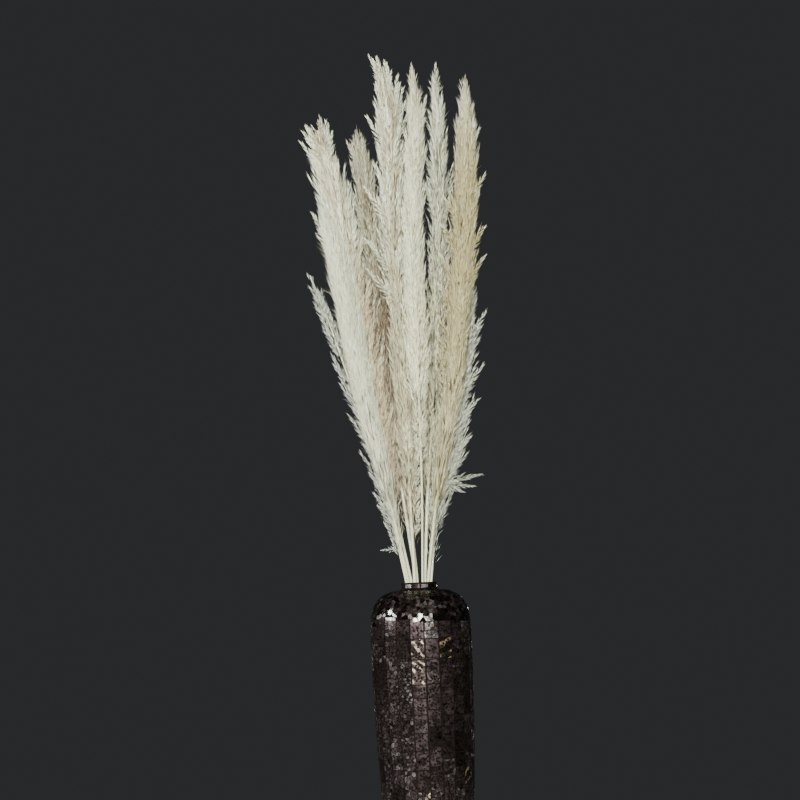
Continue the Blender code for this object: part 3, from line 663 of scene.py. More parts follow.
def shoulder_sites(starts, draw):
    """Sites in shaken rings over the shoulder, from the neck's foot to the starts of the upright strips, and
    how far each may reach. Each ring starts a radian further round than the one above it."""
    first, last = depth_at(SHOULDER_TOP) + SHOULDER_MARGIN, starts.max()
    spacing_around, spacing_down = SHOULDER_SPACING
    shake_around, shake_down = SHOULDER_SHAKE
    rings = round((last - first) / spacing_down)
    sites, limits = [], []
    for ring in range(rings):
        depth = first + (ring + 0.5) * (last - first) / rings
        count = round(FULL_TURN * line_radius(depth) / spacing_around)
        steps = np.arange(count) + draw.uniform(-shake_around, shake_around, count)
        angles = steps * FULL_TURN / count + ring
        depths = depth + draw.uniform(-shake_down, shake_down, count)
        sites.append(np.stack([angles, depths], axis=1))
        wide = np.full(count, UNLIMITED)
        below = strip_start(starts, angles, depths) - depths
        limits.append(np.stack([wide, wide, depths - first, below], axis=1))
    sites, limits = np.concatenate(sites), np.concatenate(limits)
    inside = limits[:, 3] > LEAST_SHARD
    return sites[inside], limits[inside]


def glints_at(sites):
    """The painted highlight tone of each site that lies in a glint, and nought for the others."""
    bright = np.zeros(len(sites))
    for degrees, height, within, tone in GLINTS:
        turn = half_turn_at_most(sites[:, 0] - math.radians(degrees))
        apart = np.hypot(turn * line_radius(sites[:, 1]), sites[:, 1] - depth_at(height))
        bright = np.where(apart < within, tone, bright)
    return bright


# The drops of lacquer.

DOT_RADIUS = (1.5, 2.3)
DOT_RISE = 0.22
DOT_SINK = 0.03
DOT_SIDES = 6
DOTS_A_TILE = (5, 9)
CLUSTER_RADIUS = 5.2
CLUSTER_LOOSENESS = (0.75, 1.15)
CLUSTER_SHAKE = (3.0, 2.0)
TALL_TILE = 25.0
TWO_CLUSTERS_CHANCE = 0.75


def dot_places(tiles, slopes, draw):
    """Clusters of dots on the plain tiles, laid out like a flower: one in the middle and some round it. Each
    place is (angle, depth, lift, radius)."""
    spots = []
    aside, along = CLUSTER_SHAKE
    for (left, right, top, bottom), slope in zip(tiles, slopes):
        height = bottom - top
        clusters = 2 if height > TALL_TILE and draw.random() < TWO_CLUSTERS_CHANCE else 1
        for cluster in range(clusters):
            x0 = draw.uniform(-aside, aside)
            y0 = (cluster + 0.5) / clusters * height - height / 2 + draw.uniform(-along, along)
            count = draw.integers(*DOTS_A_TILE)
            turn = draw.uniform(0, FULL_TURN)
            for dot in range(count):
                out = 0.0 if dot == 0 else CLUSTER_RADIUS * draw.uniform(*CLUSTER_LOOSENESS)
                way = turn + dot * FULL_TURN / max(count - 1, 1)
                x, y = x0 + out * math.cos(way), y0 + out * math.sin(way)
                lift = TILE_LIFT + slope[0] * x + slope[1] * y
                depth = (top + bottom) / 2 + y
                angle = (left + right) / 2 + x / line_radius(depth)
                spots.append((angle, depth, lift, draw.uniform(*DOT_RADIUS)))
    return np.array(spots)


def make_dots(spots):
    """Drops of black lacquer, each a lens: a rim on the tile, a raised middle and a point below."""
    angle, depth, lift, radius = spots.T
    turns = np.arange(DOT_SIDES) * FULL_TURN / DOT_SIDES
    rim_depth = depth[:, None] + radius[:, None] * np.sin(turns)
    rim_angle = angle[:, None] + radius[:, None] * np.cos(turns) / line_radius(rim_depth)
    rim = on_vase(rim_angle, rim_depth, (lift - DOT_SINK)[:, None] + 0 * turns)
    crown = on_vase(angle, depth, lift + DOT_RISE)
    under = on_vase(angle, depth, lift - DOT_RISE)
    points = np.concatenate([crown[:, None], rim, under[:, None]], axis=1).reshape(-1, 3)
    faces = repeated(drop_faces(DOT_SIDES, 1), len(spots), DOT_SIDES + 2)
    return mesh_object("lacquer_dots", points, faces, smooth_angle=60)


# The shell's two maps: its own, whose unit is 30 mm and which starts at a chance place for each tile, and the
# one round the vase, which keeps a margin. Above a tone the own map is mirrored, so that a tile's bands of
# nacre lean the other way.

OWN_UNIT = 30.0
OWN_SHIFT = 40
MIRRORED_ABOVE = 0.3
MAP_SHARE = 0.96
MAP_MARGIN = 0.02


def lay_shell_maps(piece, groups, draw):
    """Gives the shell its two maps, its tones and its shines, from groups of tiles with their points, the
    points' places on the tile and on the vase, and the tiles' tones and shines."""
    own, around, tones, shines = [], [], [], []
    for stacked, local, places, tone, shine in groups:
        count, size = stacked.shape[:2]
        offset = draw.uniform(0, OWN_SHIFT, (count, 1, 2))
        mirrored = np.stack([np.where(tone > MIRRORED_ABOVE, -1.0, 1.0), np.ones(count)], axis=1)[:, None]
        own.append((local / OWN_UNIT * mirrored + offset).reshape(-1, 2))
        middle = places.mean(axis=1, keepdims=True)
        turned = (places[..., 0] - middle[..., 0]) + (middle[..., 0] + math.pi) % FULL_TURN
        shares = np.stack([turned / FULL_TURN, places[..., 1] / LINE_DEPTHS[-1]], -1)
        around.append((shares * MAP_SHARE + MAP_MARGIN).reshape(-1, 2))
        tones.append(np.repeat(tone, size))
        shines.append(np.repeat(shine, size))
    lay_map(piece, "OFBake", np.concatenate(around))
    lay_map(piece, "own", np.concatenate(own))
    lay_numbers(piece, "tone", np.concatenate(tones))
    lay_numbers(piece, "shine", np.concatenate(shines))


def make_vase_cladding():
    """The shell tiles and their dots."""
    draw = np.random.default_rng(SEED)
    tiles, looks, starts = strip_rows(draw)
    neck, neck_looks = neck_row(draw)
    crackled = looks[:, 0] > 0.5
    plain = np.concatenate([tiles[~crackled], neck])
    plain_looks = np.concatenate([looks[~crackled], neck_looks])
    squares, square_faces, square_local, square_places, slopes = square_tiles(plain, draw)
    crack_sites, crack_limits, owners = crackled_sites(tiles[crackled], draw)
    high_sites, high_limits = shoulder_sites(starts, draw)
    sites = np.concatenate([crack_sites, high_sites])
    bright = glints_at(sites)
    limits = np.concatenate([crack_limits, high_limits])
    bits, bit_faces, bit_local, bit_places = fragments(sites, limits, bright > 0, draw)
    tile_tones, tile_shines = looks[crackled][owners, 1:].T
    low_tones = tile_tones * TILE_TONE_SHARE + LEAST_TONE + CHANCE_TONE * draw.random(len(crack_sites))
    high_tones = draw.random(len(high_sites)) ** SHOULDER_TONE_POWER * SHOULDER_TONE
    low_shines = tile_shines * draw.uniform(*SHARD_SHINE, len(crack_sites))
    high_shines = draw.uniform(*SHOULDER_SHINE, len(high_sites))
    bit_tones = np.minimum(np.concatenate([low_tones, high_tones]), BRIGHTEST_CHANCE)
    # Fragments in a glint take its tone, a painted highlight.
    bit_tones = np.where(bright > 0, bright, bit_tones)
    bit_shines = np.concatenate([low_shines, high_shines])
    points = np.concatenate([squares.reshape(-1, 3), bits.reshape(-1, 3)])
    faces = np.concatenate([square_faces, bit_faces + squares.shape[0] * squares.shape[1]])
    piece = mesh_object("shell_tiles", points, faces, smooth_angle=30)
    groups = [(squares, square_local, square_places, plain_looks[:, 1], plain_looks[:, 2]),
              (bits, bit_local, bit_places, bit_tones, bit_shines)]
    lay_shell_maps(piece, groups, draw)
    dots = make_dots(dot_places(plain[:-NECK_TILES], slopes[:-NECK_TILES], draw))
    return piece, dots


# The plumes: where they are and how far they reach.


def plume_tip(plume):
    """The height of a plume's tip above the mouth."""
    return plume.route[-1][2]


def share_up(plume, heights):
    """The share of the way from where the fluff starts to the plume's tip, from 0 to 1."""
    return np.clip((heights - plume.fluff_from) / (plume_tip(plume) - plume.fluff_from), 0.0, 1.0)


def stem_foot_height():
    """Where a stem's cut end stands just clear of the vase's floor, measured from the mouth."""
    return FLOOR_THICKNESS + STEM_CLEARANCE - VASE_HEIGHT


def axis(plume, heights):
    """The stem's centre line (x, y) at some heights.

    Above the mouth a cubic runs from each route point to the next, with the slope at a point taken from its
    two neighbours. The stretch inside the vase is straight, from the foot on the floor to the mouth.
    """
    knots = np.array([(*plume.mouth, 0.0), *plume.route], dtype=float)
    places, levels = knots[:, :2], knots[:, 2]
    slopes = np.gradient(places, levels, axis=0)
    h = np.clip(heights, 0.0, levels[-1])
    k = np.clip(np.searchsorted(levels, h, side="right") - 1, 0, len(levels) - 2)
    span = (levels[k + 1] - levels[k])[..., None]
    s = (h - levels[k])[..., None] / span
    start = (1 + 2 * s) * (1 - s) ** 2 * places[k] + s * (1 - s) ** 2 * span * slopes[k]
    end = s ** 2 * (3 - 2 * s) * places[k + 1] + s ** 2 * (s - 1) * span * slopes[k + 1]
    depth = np.clip(heights / stem_foot_height(), 0.0, 1.0)[..., None]
    return (start + end) * (1.0 - (1.0 - STEM_FOOT_SPREAD) * depth)


def room(plume, heights, angles):
    """How far a plume may reach at some heights and angles before it meets a neighbour's share.

    Two neighbours share the distance between their centre lines in proportion to their radii, and overlap a
    little. Above a neighbour's tip its share gives way, a millimetre for each millimetre of height.
    """
    centre = axis(plume, heights)
    outward = np.stack([np.cos(angles), np.sin(angles)], axis=-1)
    limit = np.full(np.shape(heights), UNLIMITED)
    for neighbour in PLUMES:
        if neighbour is plume:
            continue
        offset = axis(neighbour, heights) - centre
        distance = np.linalg.norm(offset, axis=-1)
        share = plume.radius / (plume.radius + neighbour.radius)
        above_tip = np.maximum(heights - plume_tip(neighbour), 0.0)
        wall = share * distance + NEIGHBOUR_OVERLAP + above_tip
        toward = (outward * offset).sum(axis=-1) / distance
        faces_it = toward > FACING
        limit = np.where(faces_it, np.minimum(limit, wall / np.where(faces_it, toward, 1.0)), limit)
    return limit


def envelope(plume, heights):
    """The plume's natural outer radius: it widens from its stem, keeps its width, then narrows to its tip.

    widening = 1 - (1 - a)^p and narrowing = 1 - (1 - top share) b^q, where a and b run from 0 to 1 along the
    stretches that widen and narrow, and p and q are the two powers.
    """
    t = share_up(plume, heights)
    opening = np.clip(t / plume.full_at, 0.0, 1.0)
    widening = 1.0 - (1.0 - opening) ** WIDENING_POWER
    closing = np.clip((t - plume.taper_from) / (1.0 - plume.taper_from), 0.0, 1.0)
    narrowing = 1.0 - (1.0 - plume.top_share) * closing ** NARROWING_POWER
    least = STEM_RADIUS + LEAST_FLUFF
    return (least + (plume.radius - least) * widening) * narrowing


def tufts(plume, heights, angles):
    """A slow waviness of the outer radius, from a few sines with seeded phases."""
    draw = np.random.default_rng(TUFT_SEED + PLUMES.index(plume))
    wave = np.zeros(np.shape(heights))
    for turns, length in enumerate(TUFT_LENGTHS, start=1):
        wave += np.sin(FULL_TURN * (heights / length + draw.random()) + turns * angles)
    return 1.0 + TUFT_DEPTH * wave


def outer_radius(plume, heights, angles):
    """The plume's outer radius, kept within the room that its neighbours leave."""
    natural = envelope(plume, heights) * tufts(plume, heights, angles)
    return np.minimum(natural, room(plume, heights, angles))


def place(plume, heights, angles, radii):
    """Points at some heights, angles and distances from the plume's centre line."""
    centre = axis(plume, heights)
    x = centre[..., 0] + radii * np.cos(angles)
    y = centre[..., 1] + radii * np.sin(angles)
    return np.stack([x, y, VASE_HEIGHT + heights], axis=-1)


LEAST_LENGTH = 1e-9


def unit(vectors):
    """The vectors at length one."""
    return vectors / np.maximum(np.linalg.norm(vectors, axis=-1, keepdims=True), LEAST_LENGTH)


def across(ways, hints):
    """Two unit vectors square to each way: one nearest to a hint, and one square to both."""
    first = unit(hints - (hints * ways).sum(axis=-1, keepdims=True) * ways)
    return first, np.cross(ways, first)


# The sprays' middle lines. Each is a rib of three points: A where it leaves the stem, B that it bends towards,
# and its end C, for a curve (1-s)^2 A + 2 s (1-s) B + s^2 C. They leave the stem from LOWEST_SPRAY below the
# fluff's start to HIGHEST_SPRAY below the tip. Turns are in radians, and the crown's spread and roundness are
# powers.

LOWEST_SPRAY = 14.0
HIGHEST_SPRAY = 20.0
SPRAY_STRETCH = 1.5
SPRAY_LENGTHS = (0.7, 1.2)
SLIM_PART_LENGTH = 0.35
LEAST_RISE = 10.0
ROOT_TURN = 0.3
END_TURN = 0.25
USUAL_REACH = 0.96
PROUD_REACH = 1.28
CROWN_SPREAD = 0.6
CROWN_ROUNDNESS = 1.5
CROWN_SHAKE = 4.0
RIB_START = 2.0
RIB_SHORTENING = 2.0
LEAST_RIB = 0.5
BEND_OUT = 1.0
LOOSE_BEND_OUT = 0.42
LOOSE_BEND_UP = 0.52


def ribs_of(plume, draw):
    """The ribs of a plume's sprays. Most end a little inside the plume's outer radius and some stand out of
    it. By the plume's tip they end the lower the further out they reach, so that the plume closes to a
    point."""
    look = plume.look
    count = look.sprays
    low, last = plume.fluff_from - LOWEST_SPRAY, plume_tip(plume) - HIGHEST_SPRAY
    root_h = low + (np.arange(count) + draw.random(count)) / count * (last - low)
    angle = np.arange(count) * GOLDEN_ANGLE + draw.uniform(-ROOT_TURN, ROOT_TURN, count)
    width = outer_radius(plume, root_h, angle)
    fullness = SLIM_PART_LENGTH + (1 - SLIM_PART_LENGTH) * width / plume.radius
    length = SPRAY_STRETCH * plume.spray * fullness * draw.uniform(*SPRAY_LENGTHS, count)
    reach_share = draw.uniform(USUAL_REACH - 2 * look.ragged, USUAL_REACH + look.ragged, count)
    stands_out = draw.random(count) < look.proud
    reach_share = np.where(stands_out, draw.uniform(1.0, PROUD_REACH, count), reach_share)
    top = plume_tip(plume) - look.below
    in_crown = root_h + length > top - look.crown
    reach_share = np.where(in_crown, draw.random(count) ** CROWN_SPREAD, reach_share)
    lowered = look.crown * np.minimum(reach_share, 1.0) ** CROWN_ROUNDNESS
    highest = top - CROWN_SHAKE * draw.random(count) - lowered
    tip_h = root_h + np.maximum(LEAST_RISE, np.minimum(length, highest - root_h))
    tip_a = angle + draw.uniform(-END_TURN, END_TURN, count)
    girth = look.slim + (look.girth - look.slim) * share_up(plume, tip_h)
    full = girth * (1 + look.aside * np.cos(tip_a))
    reach = outer_radius(plume, tip_h, tip_a) * reach_share * full - RIB_SHORTENING
    reach = np.maximum(reach, LEAST_RIB)
    start = place(plume, root_h, angle, np.minimum(RIB_START, reach))
    bend = place(plume, (root_h + tip_h) / 2, (angle + tip_a) / 2, look.arch * reach + BEND_OUT)
    end = place(plume, tip_h, tip_a, reach)
    return start, bend, end


def loose_ribs_of(plume):
    """The ribs of the long single sprays, with bends and ends measured from where a spray leaves the stem."""
    height, direction, reach, rise = np.array(LOOSE_SPRAYS[plume.name], dtype=float).T
    angle = np.radians(direction)
    centre = axis(plume, height)
    way = np.stack([np.cos(angle), np.sin(angle)], axis=1)

    def point(out_share, up_share):
        """The point at a share of the way out and a share of the way up."""
        beside = centre + out_share * reach[:, None] * way
        return np.column_stack([beside, VASE_HEIGHT + (height + up_share * rise)])

    return place(plume, height, angle, RIB_START), point(LOOSE_BEND_OUT, LOOSE_BEND_UP), point(1.0, 1.0)


def curve_at(start, bend, end, s):
    """The point of a rib at a share s of its way, and the way it runs there."""
    s = s[..., None]
    point = (1 - s) ** 2 * start + 2 * s * (1 - s) * bend + s ** 2 * end
    way = unit((1 - s) * (bend - start) + s * (end - bend))
    return point, way


def rib_lengths(ribs):
    """The straight distance from each rib's start to its end."""
    return np.linalg.norm(ribs[2] - ribs[0], axis=1)


# The hairs and the twigs that they grow on, which leave a rib from FIRST_TWIG over TWIG_SPAN of its way. What
# narrows, shortens, thins or calms does so towards the end of the spray, or of the twig if it says so. The
# pairs are the least and the greatest that chance gives.

TWIGS = 14
TWIG_SHARE = 0.13
FIRST_TWIG = 0.04
TWIG_SPAN = 0.94
END_THINNING = 1.2
END_CALM = 0.7
TWIG_OUTWARDS = 0.35
TWIG_NARROWING = 0.75
TWIG_TAPER = 0.8
LEAST_TWIG = 2.0
TIP_STRETCH = 60.0
LEAST_OPEN = 0.4
NUDGE = 1e-6
HAIR_GATHERING = 0.8
HAIR_SHIFT = 0.5
HAIR_OUTWARDS = 0.25
HAIR_LENGTHS = (0.6, 1.15)
TWIG_END_FAN = 0.45
TWIG_END_SHORTENING = 0.25
STRAY_SHARE = 0.12
STRAY_ANGLES = (12.0, 38.0)
STRAY_OUTWARDS = 0.8
FAN_NARROWING = 0.7
HAIR_SHORTENING = 0.32
HAIR_WIDTH = 0.50
HAIR_WIDTHS = (0.75, 1.3)
HAIR_BULGE = 0.30
HAIR_BULGES = (0.6, 1.4)
WAIST = 0.4
LEAST_HAIRS = 2
LEAST_DENSITY = 0.05
LENGTH_POWER = 1.2
THINNING_POWER = 1.5
SPRAY_SHADE = 0.08

# The long single sprays: hairs for each millimetre, the length of a hair and of a spray with full hair.
LOOSE_HAIRS = 4.8
LOOSE_HAIR = 15.0
LOOSE_FULL_LENGTH = 60.0
LOOSE_LEAST_HAIR = 0.4
LOOSE_COMB = Comb(34, 21, 0.22, 24, 1.0, 0.88, 0.30)

# The broad hairs round the stem.
CORE_NEEDLES = 650
CORE_START = 70.0
CORE_WIDTH = 2.4
CORE_WIDTHS = (0.7, 1.3)
CORE_LENGTH = 55.0
CORE_LENGTHS = (0.7, 1.1)
CORE_SHARES = (0.18, 0.5)
CORE_SPLAY = 0.12


def twigs_of(plume, ribs, counts, comb, draw):
    """The twig of each hair: the number of its rib, the share s of the rib's way where it leaves, the point
    there, its way, the way out from the stem, and how open the hair is so close to the plume's tip. From one
    twig to the next is a golden angle round the rib."""
    start, bend, end = ribs
    which = np.repeat(np.arange(len(start)), counts)
    phase = draw.uniform(0, FULL_TURN, len(start))
    step = (comb.twigs * draw.random(len(which)) ** END_THINNING).astype(int)
    shake = draw.uniform(0.0, 1.0, (len(start), comb.twigs))
    s = FIRST_TWIG + TWIG_SPAN * (step + shake[which, step]) / comb.twigs
    point, way = curve_at(start[which], bend[which], end[which], s)
    centre = axis(plume, point[:, 2] - VASE_HEIGHT)
    outward = np.concatenate([point[:, :2] - centre, np.zeros((len(which), 1))], axis=1) + NUDGE
    first, second = across(way, outward)
    turn = phase[which] + step * GOLDEN_ANGLE
    side = np.cos(turn)[:, None] * first + np.sin(turn)[:, None] * second
    side = unit(side + TWIG_OUTWARDS * first)
    below_tip = plume_tip(plume) - plume.look.below + VASE_HEIGHT - point[:, 2]
    openness = comb.least_open + (1 - comb.least_open) * np.clip(below_tip / TIP_STRETCH, 0.0, 1.0)
    spread = np.radians(comb.twig) * (1 - TWIG_NARROWING * s) * openness
    twig_way = unit(np.cos(spread)[:, None] * way + np.sin(spread)[:, None] * side)
    return which, s, point, twig_way, outward, openness


def hairs_on(plume, ribs, counts, comb, hair, draw):
    """Hairs as (root, tip, outward way). A spray's twigs shorten towards its end, and a hair leaves its twig
    at a share q of the twig's length, within the fan's angle. A few stray hairs leave at a wider angle."""
    which, s, point, twig_way, outward, openness = twigs_of(plume, ribs, counts, comb, draw)
    total = len(which)
    calm = 1 - END_CALM * s
    reach = comb.twig_share * rib_lengths(ribs)[which] * (1 - s) ** TWIG_TAPER + LEAST_TWIG * calm
    q = draw.random(total) ** HAIR_GATHERING
    root = point + (q * reach)[:, None] * twig_way
    root += draw.normal(0, HAIR_SHIFT, (total, 3)) * calm[:, None]
    first, second = across(twig_way, outward)
    turn = draw.uniform(0, FULL_TURN, total)
    stray = draw.random(total) < STRAY_SHARE
    outwards = np.where(stray, STRAY_OUTWARDS, HAIR_OUTWARDS)[:, None]
    away = np.cos(turn)[:, None] * first + np.sin(turn)[:, None] * second + outwards * first
    fan = np.radians(comb.fan) * np.sqrt(draw.random(total))
    opening = fan * (1 - TWIG_END_FAN * q) * (1 - comb.narrowing * s) * openness
    stray_opening = np.radians(draw.uniform(*STRAY_ANGLES, total)) * calm * openness
    opening = np.where(stray, stray_opening, opening)
    hair_way = unit(np.cos(opening)[:, None] * twig_way + np.sin(opening)[:, None] * unit(away))
    full = np.broadcast_to(hair, len(counts))[which] * (1 - TWIG_END_SHORTENING * q)
    length = full * (1 - comb.shortening * s) * draw.uniform(*HAIR_LENGTHS, total) * openness
    return root, root + length[:, None] * hair_way, first


def core_of(plume, draw):
    """Broad hairs close round the stem, which keep a plume from being seen through: (root, tip, outward)."""
    top = plume_tip(plume) - plume.look.crown - CORE_LENGTH / 2
    count = round(CORE_NEEDLES * plume.look.core)
    height = draw.uniform(plume.fluff_from + CORE_START, top, count)
    angle = draw.uniform(0, FULL_TURN, count)
    share = draw.uniform(*CORE_SHARES, count) * (1 + plume.look.aside * np.cos(angle))
    end_height = height + CORE_LENGTH * draw.uniform(*CORE_LENGTHS, count)
    root = place(plume, height, angle, share * outer_radius(plume, height, angle))
    tip = place(plume, end_height, angle, (share + CORE_SPLAY) * outer_radius(plume, end_height, angle))
    outward = np.stack([np.cos(angle), np.sin(angle), 0 * angle], axis=1)
    return root, tip, outward


def hair_groups(plume, draw):
    """A plume's combed hairs, its core and its loose sprays, each as (root, tip, outward way, width, shade).
    The longer a spray is the more hairs it has, and the fluff thins out towards the mouth."""

    def with_widths(hairs, width, widths, shade=0.0):
        """A group of hairs that are so wide, more or less, and have a shade."""
        count = len(hairs[0])
        return (*hairs, width * draw.uniform(*widths, count), np.broadcast_to(shade, count))

    look = plume.look
    ribs = ribs_of(plume, draw)
    rise = ribs[0][:, 2] - VASE_HEIGHT - plume.fluff_from
    density = np.clip(rise / look.thin, LEAST_DENSITY, 1.0) ** THINNING_POWER
    weight = rib_lengths(ribs) ** LENGTH_POWER * density
    counts = np.maximum(LEAST_HAIRS, np.round(look.hairs * weight / weight.sum())).astype(int)
    comb = Comb(look.twig, look.fan, TWIG_SHARE, TWIGS, LEAST_OPEN, FAN_NARROWING, HAIR_SHORTENING)
    combed = hairs_on(plume, ribs, counts, comb, look.hair, draw)
    shade = np.repeat(draw.normal(0, SPRAY_SHADE, len(counts)), counts)
    groups = [with_widths(combed, HAIR_WIDTH, HAIR_WIDTHS, shade)]
    groups.append(with_widths(core_of(plume, draw), CORE_WIDTH, CORE_WIDTHS))
    if plume.name in LOOSE_SPRAYS:
        ribs = loose_ribs_of(plume)
        length = rib_lengths(ribs)
        counts = np.round(LOOSE_HAIRS * length).astype(int)
        hair = LOOSE_HAIR * np.clip(length / LOOSE_FULL_LENGTH, LOOSE_LEAST_HAIR, 1.0)
        loose = hairs_on(plume, ribs, counts, LOOSE_COMB, hair, draw)
        groups.append(with_widths(loose, HAIR_WIDTH, HAIR_WIDTHS))
    return groups


def needles(root, tip, outward, width, bulge):
    """Hairs as slim closed wedges of four faces: the root, two points beside each other a little way out at
    two fifths of the length, and the tip."""
    out, side = across(unit(tip - root), outward)
    waist = root + WAIST * (tip - root) + bulge[:, None] * out
    half = (width / 2)[:, None] * side
    points = np.stack([root, waist + half, waist - half, tip], axis=1)
    return points, repeated([[0, 1, 2], [0, 3, 1], [0, 2, 3], [1, 3, 2]], len(root), 4)


# Where a plume's map and a stem's map start, and how far they run, along u and along v.
FLUFF_MAP = ((0.08, 0.62), (0.06, 0.86))
FLUFF_SHAKES = (0.06, 0.03)
FURTHEST_OUT = 1.15
STEM_MAP = ((0.03, 0.94), (0.02, 0.96))


def spread_out(shares, start_and_run):
    """Shares laid out from a start, over a run."""
    return start_and_run[0] + start_and_run[1] * shares


def make_fluff(plume):
    """All the hairs of a plume as one piece. Its map has the share of the way from the stem to the outside
    along u, and the share of the plume's height along v, both shaken a little for each hair, and u for each
    spray too."""
    draw = np.random.default_rng(SEED * 100 + PLUMES.index(plume))
    columns = zip(*hair_groups(plume, draw))
    root, tip, out, width, shade = [np.concatenate(column) for column in columns]
    points, faces = needles(root, tip, out, width, HAIR_BULGE * draw.uniform(*HAIR_BULGES, len(root)))
    piece = mesh_object(plume.name + "_fluff", points.reshape(-1, 3), faces)
    heights = points[..., 2] - VASE_HEIGHT
    away = np.linalg.norm(points[..., :2] - axis(plume, heights), axis=-1)
    outside = np.clip(away / envelope(plume, heights), 0, FURTHEST_OUT)
    shake_u, shake_v = FLUFF_SHAKES
    shade = shade + draw.uniform(-shake_u, shake_u, len(root))
    u = spread_out(outside, FLUFF_MAP[0]) + shade[:, None]
    v = spread_out(share_up(plume, heights), FLUFF_MAP[1]) + draw.uniform(-shake_v, shake_v, (len(root), 1))
    lay_map(piece, "OFBake", np.clip(np.stack([u, v], axis=-1), 0.0, 1.0).reshape(-1, 2))
    return piece


STEM_SIDES = 8
STEM_RINGS = 44
STEM_END_RADIUS = 0.9
STEM_END_BELOW = 14.0


def make_stem(plume):
    """A stem from its cut end on the vase's floor to just under the plume's tip: circles along its centre
    line, whose radius slims from where the fluff starts."""
    foot, top = stem_foot_height(), plume_tip(plume) - STEM_END_BELOW
    heights = np.linspace(foot, top, STEM_RINGS)
    share = np.clip((heights - plume.fluff_from) / (top - plume.fluff_from), 0, 1)
    radii = plume.look.stem + (STEM_END_RADIUS - plume.look.stem) * share
    turns = np.arange(STEM_SIDES) * FULL_TURN / STEM_SIDES
    grid_h, grid_a = np.meshgrid(heights, turns, indexing="ij")
    rings = place(plume, grid_h, grid_a, radii[:, None])
    ends = place(plume, np.array([foot, top]), np.zeros(2), np.zeros(2))
    points = np.concatenate([rings.reshape(-1, 3), ends])
    piece = mesh_object(plume.name + "_stem", points, tube_faces(STEM_RINGS, STEM_SIDES), smooth_angle=50)
    u = np.concatenate([(0.5 - 0.5 * np.cos(grid_a)).ravel(), [0.5, 0.5]])
    v = np.concatenate([((grid_h - foot) / (top - foot)).ravel(), [0.0, 1.0]])
    lay_map(piece, "OFBake", np.stack([spread_out(u, STEM_MAP[0]), spread_out(v, STEM_MAP[1])], axis=1))
    return piece


# The finishes. A ramp's stops are (place, colour).

BLACK = (0.003, 0.002, 0.002)
GROUT_TONES = [(0.35, BLACK), (0.75, (0.012, 0.008, 0.007))]
LACQUER_TONES = [(0.35, BLACK), (0.7, (0.008, 0.006, 0.006))]
# The top stop is raised so that the glint fragments' tones give a painted highlight; the palest neck tiles
# reach into it too.
SHELL_TONES = [(0.0, BLACK), (0.30, (0.021, 0.016, 0.015)), (0.55, (0.036, 0.0265, 0.0285)),
               (0.75, (0.050, 0.037, 0.042)), (0.90, (0.110, 0.100, 0.108)), (1.0, (0.400, 0.385, 0.405))]
NACRE_TONES = [(0.20, (1.0, 0.72, 0.46)), (0.42, (0.38, 0.32, 0.25)), (0.8, (0.34, 0.31, 0.30))]
STRAW_TONES = [(0.30, (0.42, 0.41, 0.26)), (0.52, (0.62, 0.63, 0.46)), (0.72, (0.71, 0.74, 0.57))]
STREAK_TONES = [(0.34, (0.74, 0.69, 0.60)), (0.56, (1.0, 1.0, 1.0))]

# What a plume's deep tone, a painted shade, is multiplied by right at its stem, where the painted shade is
# deepest.
PAINTED_STEM_SHADE = (0.62, 0.62, 0.62, 1.0)

FLOOR_TONE = (0.62, 0.61, 0.60, 1.0)
BACKDROP_TONE = (0.027, 0.028, 0.030, 1.0)
LACQUER_SHINE = 0.04


def connect(tree, node, sockets):
    """Gives a node's sockets values, or links them to other nodes' outputs."""
    for name, given in sockets.items():
        if isinstance(given, bpy.types.NodeSocket):
            tree.links.new(given, node.inputs[name])
        else:
            node.inputs[name].default_value = given


def worked_out(tree, kind, output, sockets, **settings):
    """The output of a new node of a kind that has these settings and sockets."""
    node = tree.nodes.new(kind)
    for name, value in settings.items():
        setattr(node, name, value)
    connect(tree, node, sockets)
    return node.outputs[output]


def new_material(name, roughness, coat=0.0, coat_roughness=0.05):
    """A material with one Principled BSDF, its tree and its shader."""
    material = bpy.data.materials.new(name)
    material.use_nodes = True
    tree = material.node_tree
    shader = tree.nodes["Principled BSDF"]
    connect(tree, shader, {"Roughness": roughness, "Coat Weight": coat, "Coat Roughness": coat_roughness})
    return material, tree, shader


def map_of(tree, name):
    """The places of one of the piece's UV maps."""
    return worked_out(tree, "ShaderNodeUVMap", "UV", {}, uv_map=name)


def number_of(tree, name):
    """One of the numbers that the piece has for its points."""
    return worked_out(tree, "ShaderNodeAttribute", "Fac", {}, attribute_name=name)


def stretched(tree, places, scale):
    """Places multiplied by a scale for each axis."""
    return worked_out(tree, "ShaderNodeMapping", "Vector", {"Vector": places, "Scale": scale})


def noise_of(tree, places, scale, detail):
    """A noise texture over some places."""
    return worked_out(tree, "ShaderNodeTexNoise", "Fac", {"Vector": places, "Scale": scale, "Detail": detail})


def value_range(tree, source, first, last, low=0.0, high=1.0):
    """A value taken from between two ends to between two others, where it stops at them."""
    ends = {"From Min": first, "From Max": last, "To Min": low, "To Max": high}
    return worked_out(tree, "ShaderNodeMapRange", "Result", {"Value": source, **ends})


def product(tree, first, second):
    """The product of two values."""
    return worked_out(tree, "ShaderNodeMath", "Value", {0: first, 1: second}, operation="MULTIPLY")


def mixed(tree, share, first, second, blend="MIX"):
    """Two colours mixed, or blended in another way, by a share that is a value or a number."""
    sockets = {0: share, 6: first, 7: second}
    return worked_out(tree, "ShaderNodeMix", 2, sockets, data_type="RGBA", blend_type=blend)


def relief(tree, height, strength, distance):
    """The normal that a value gives a face as its height, with the distance in metres."""
    sockets = {"Height": height, "Strength": strength, "Distance": distance}
    return worked_out(tree, "ShaderNodeBump", "Normal", sockets)


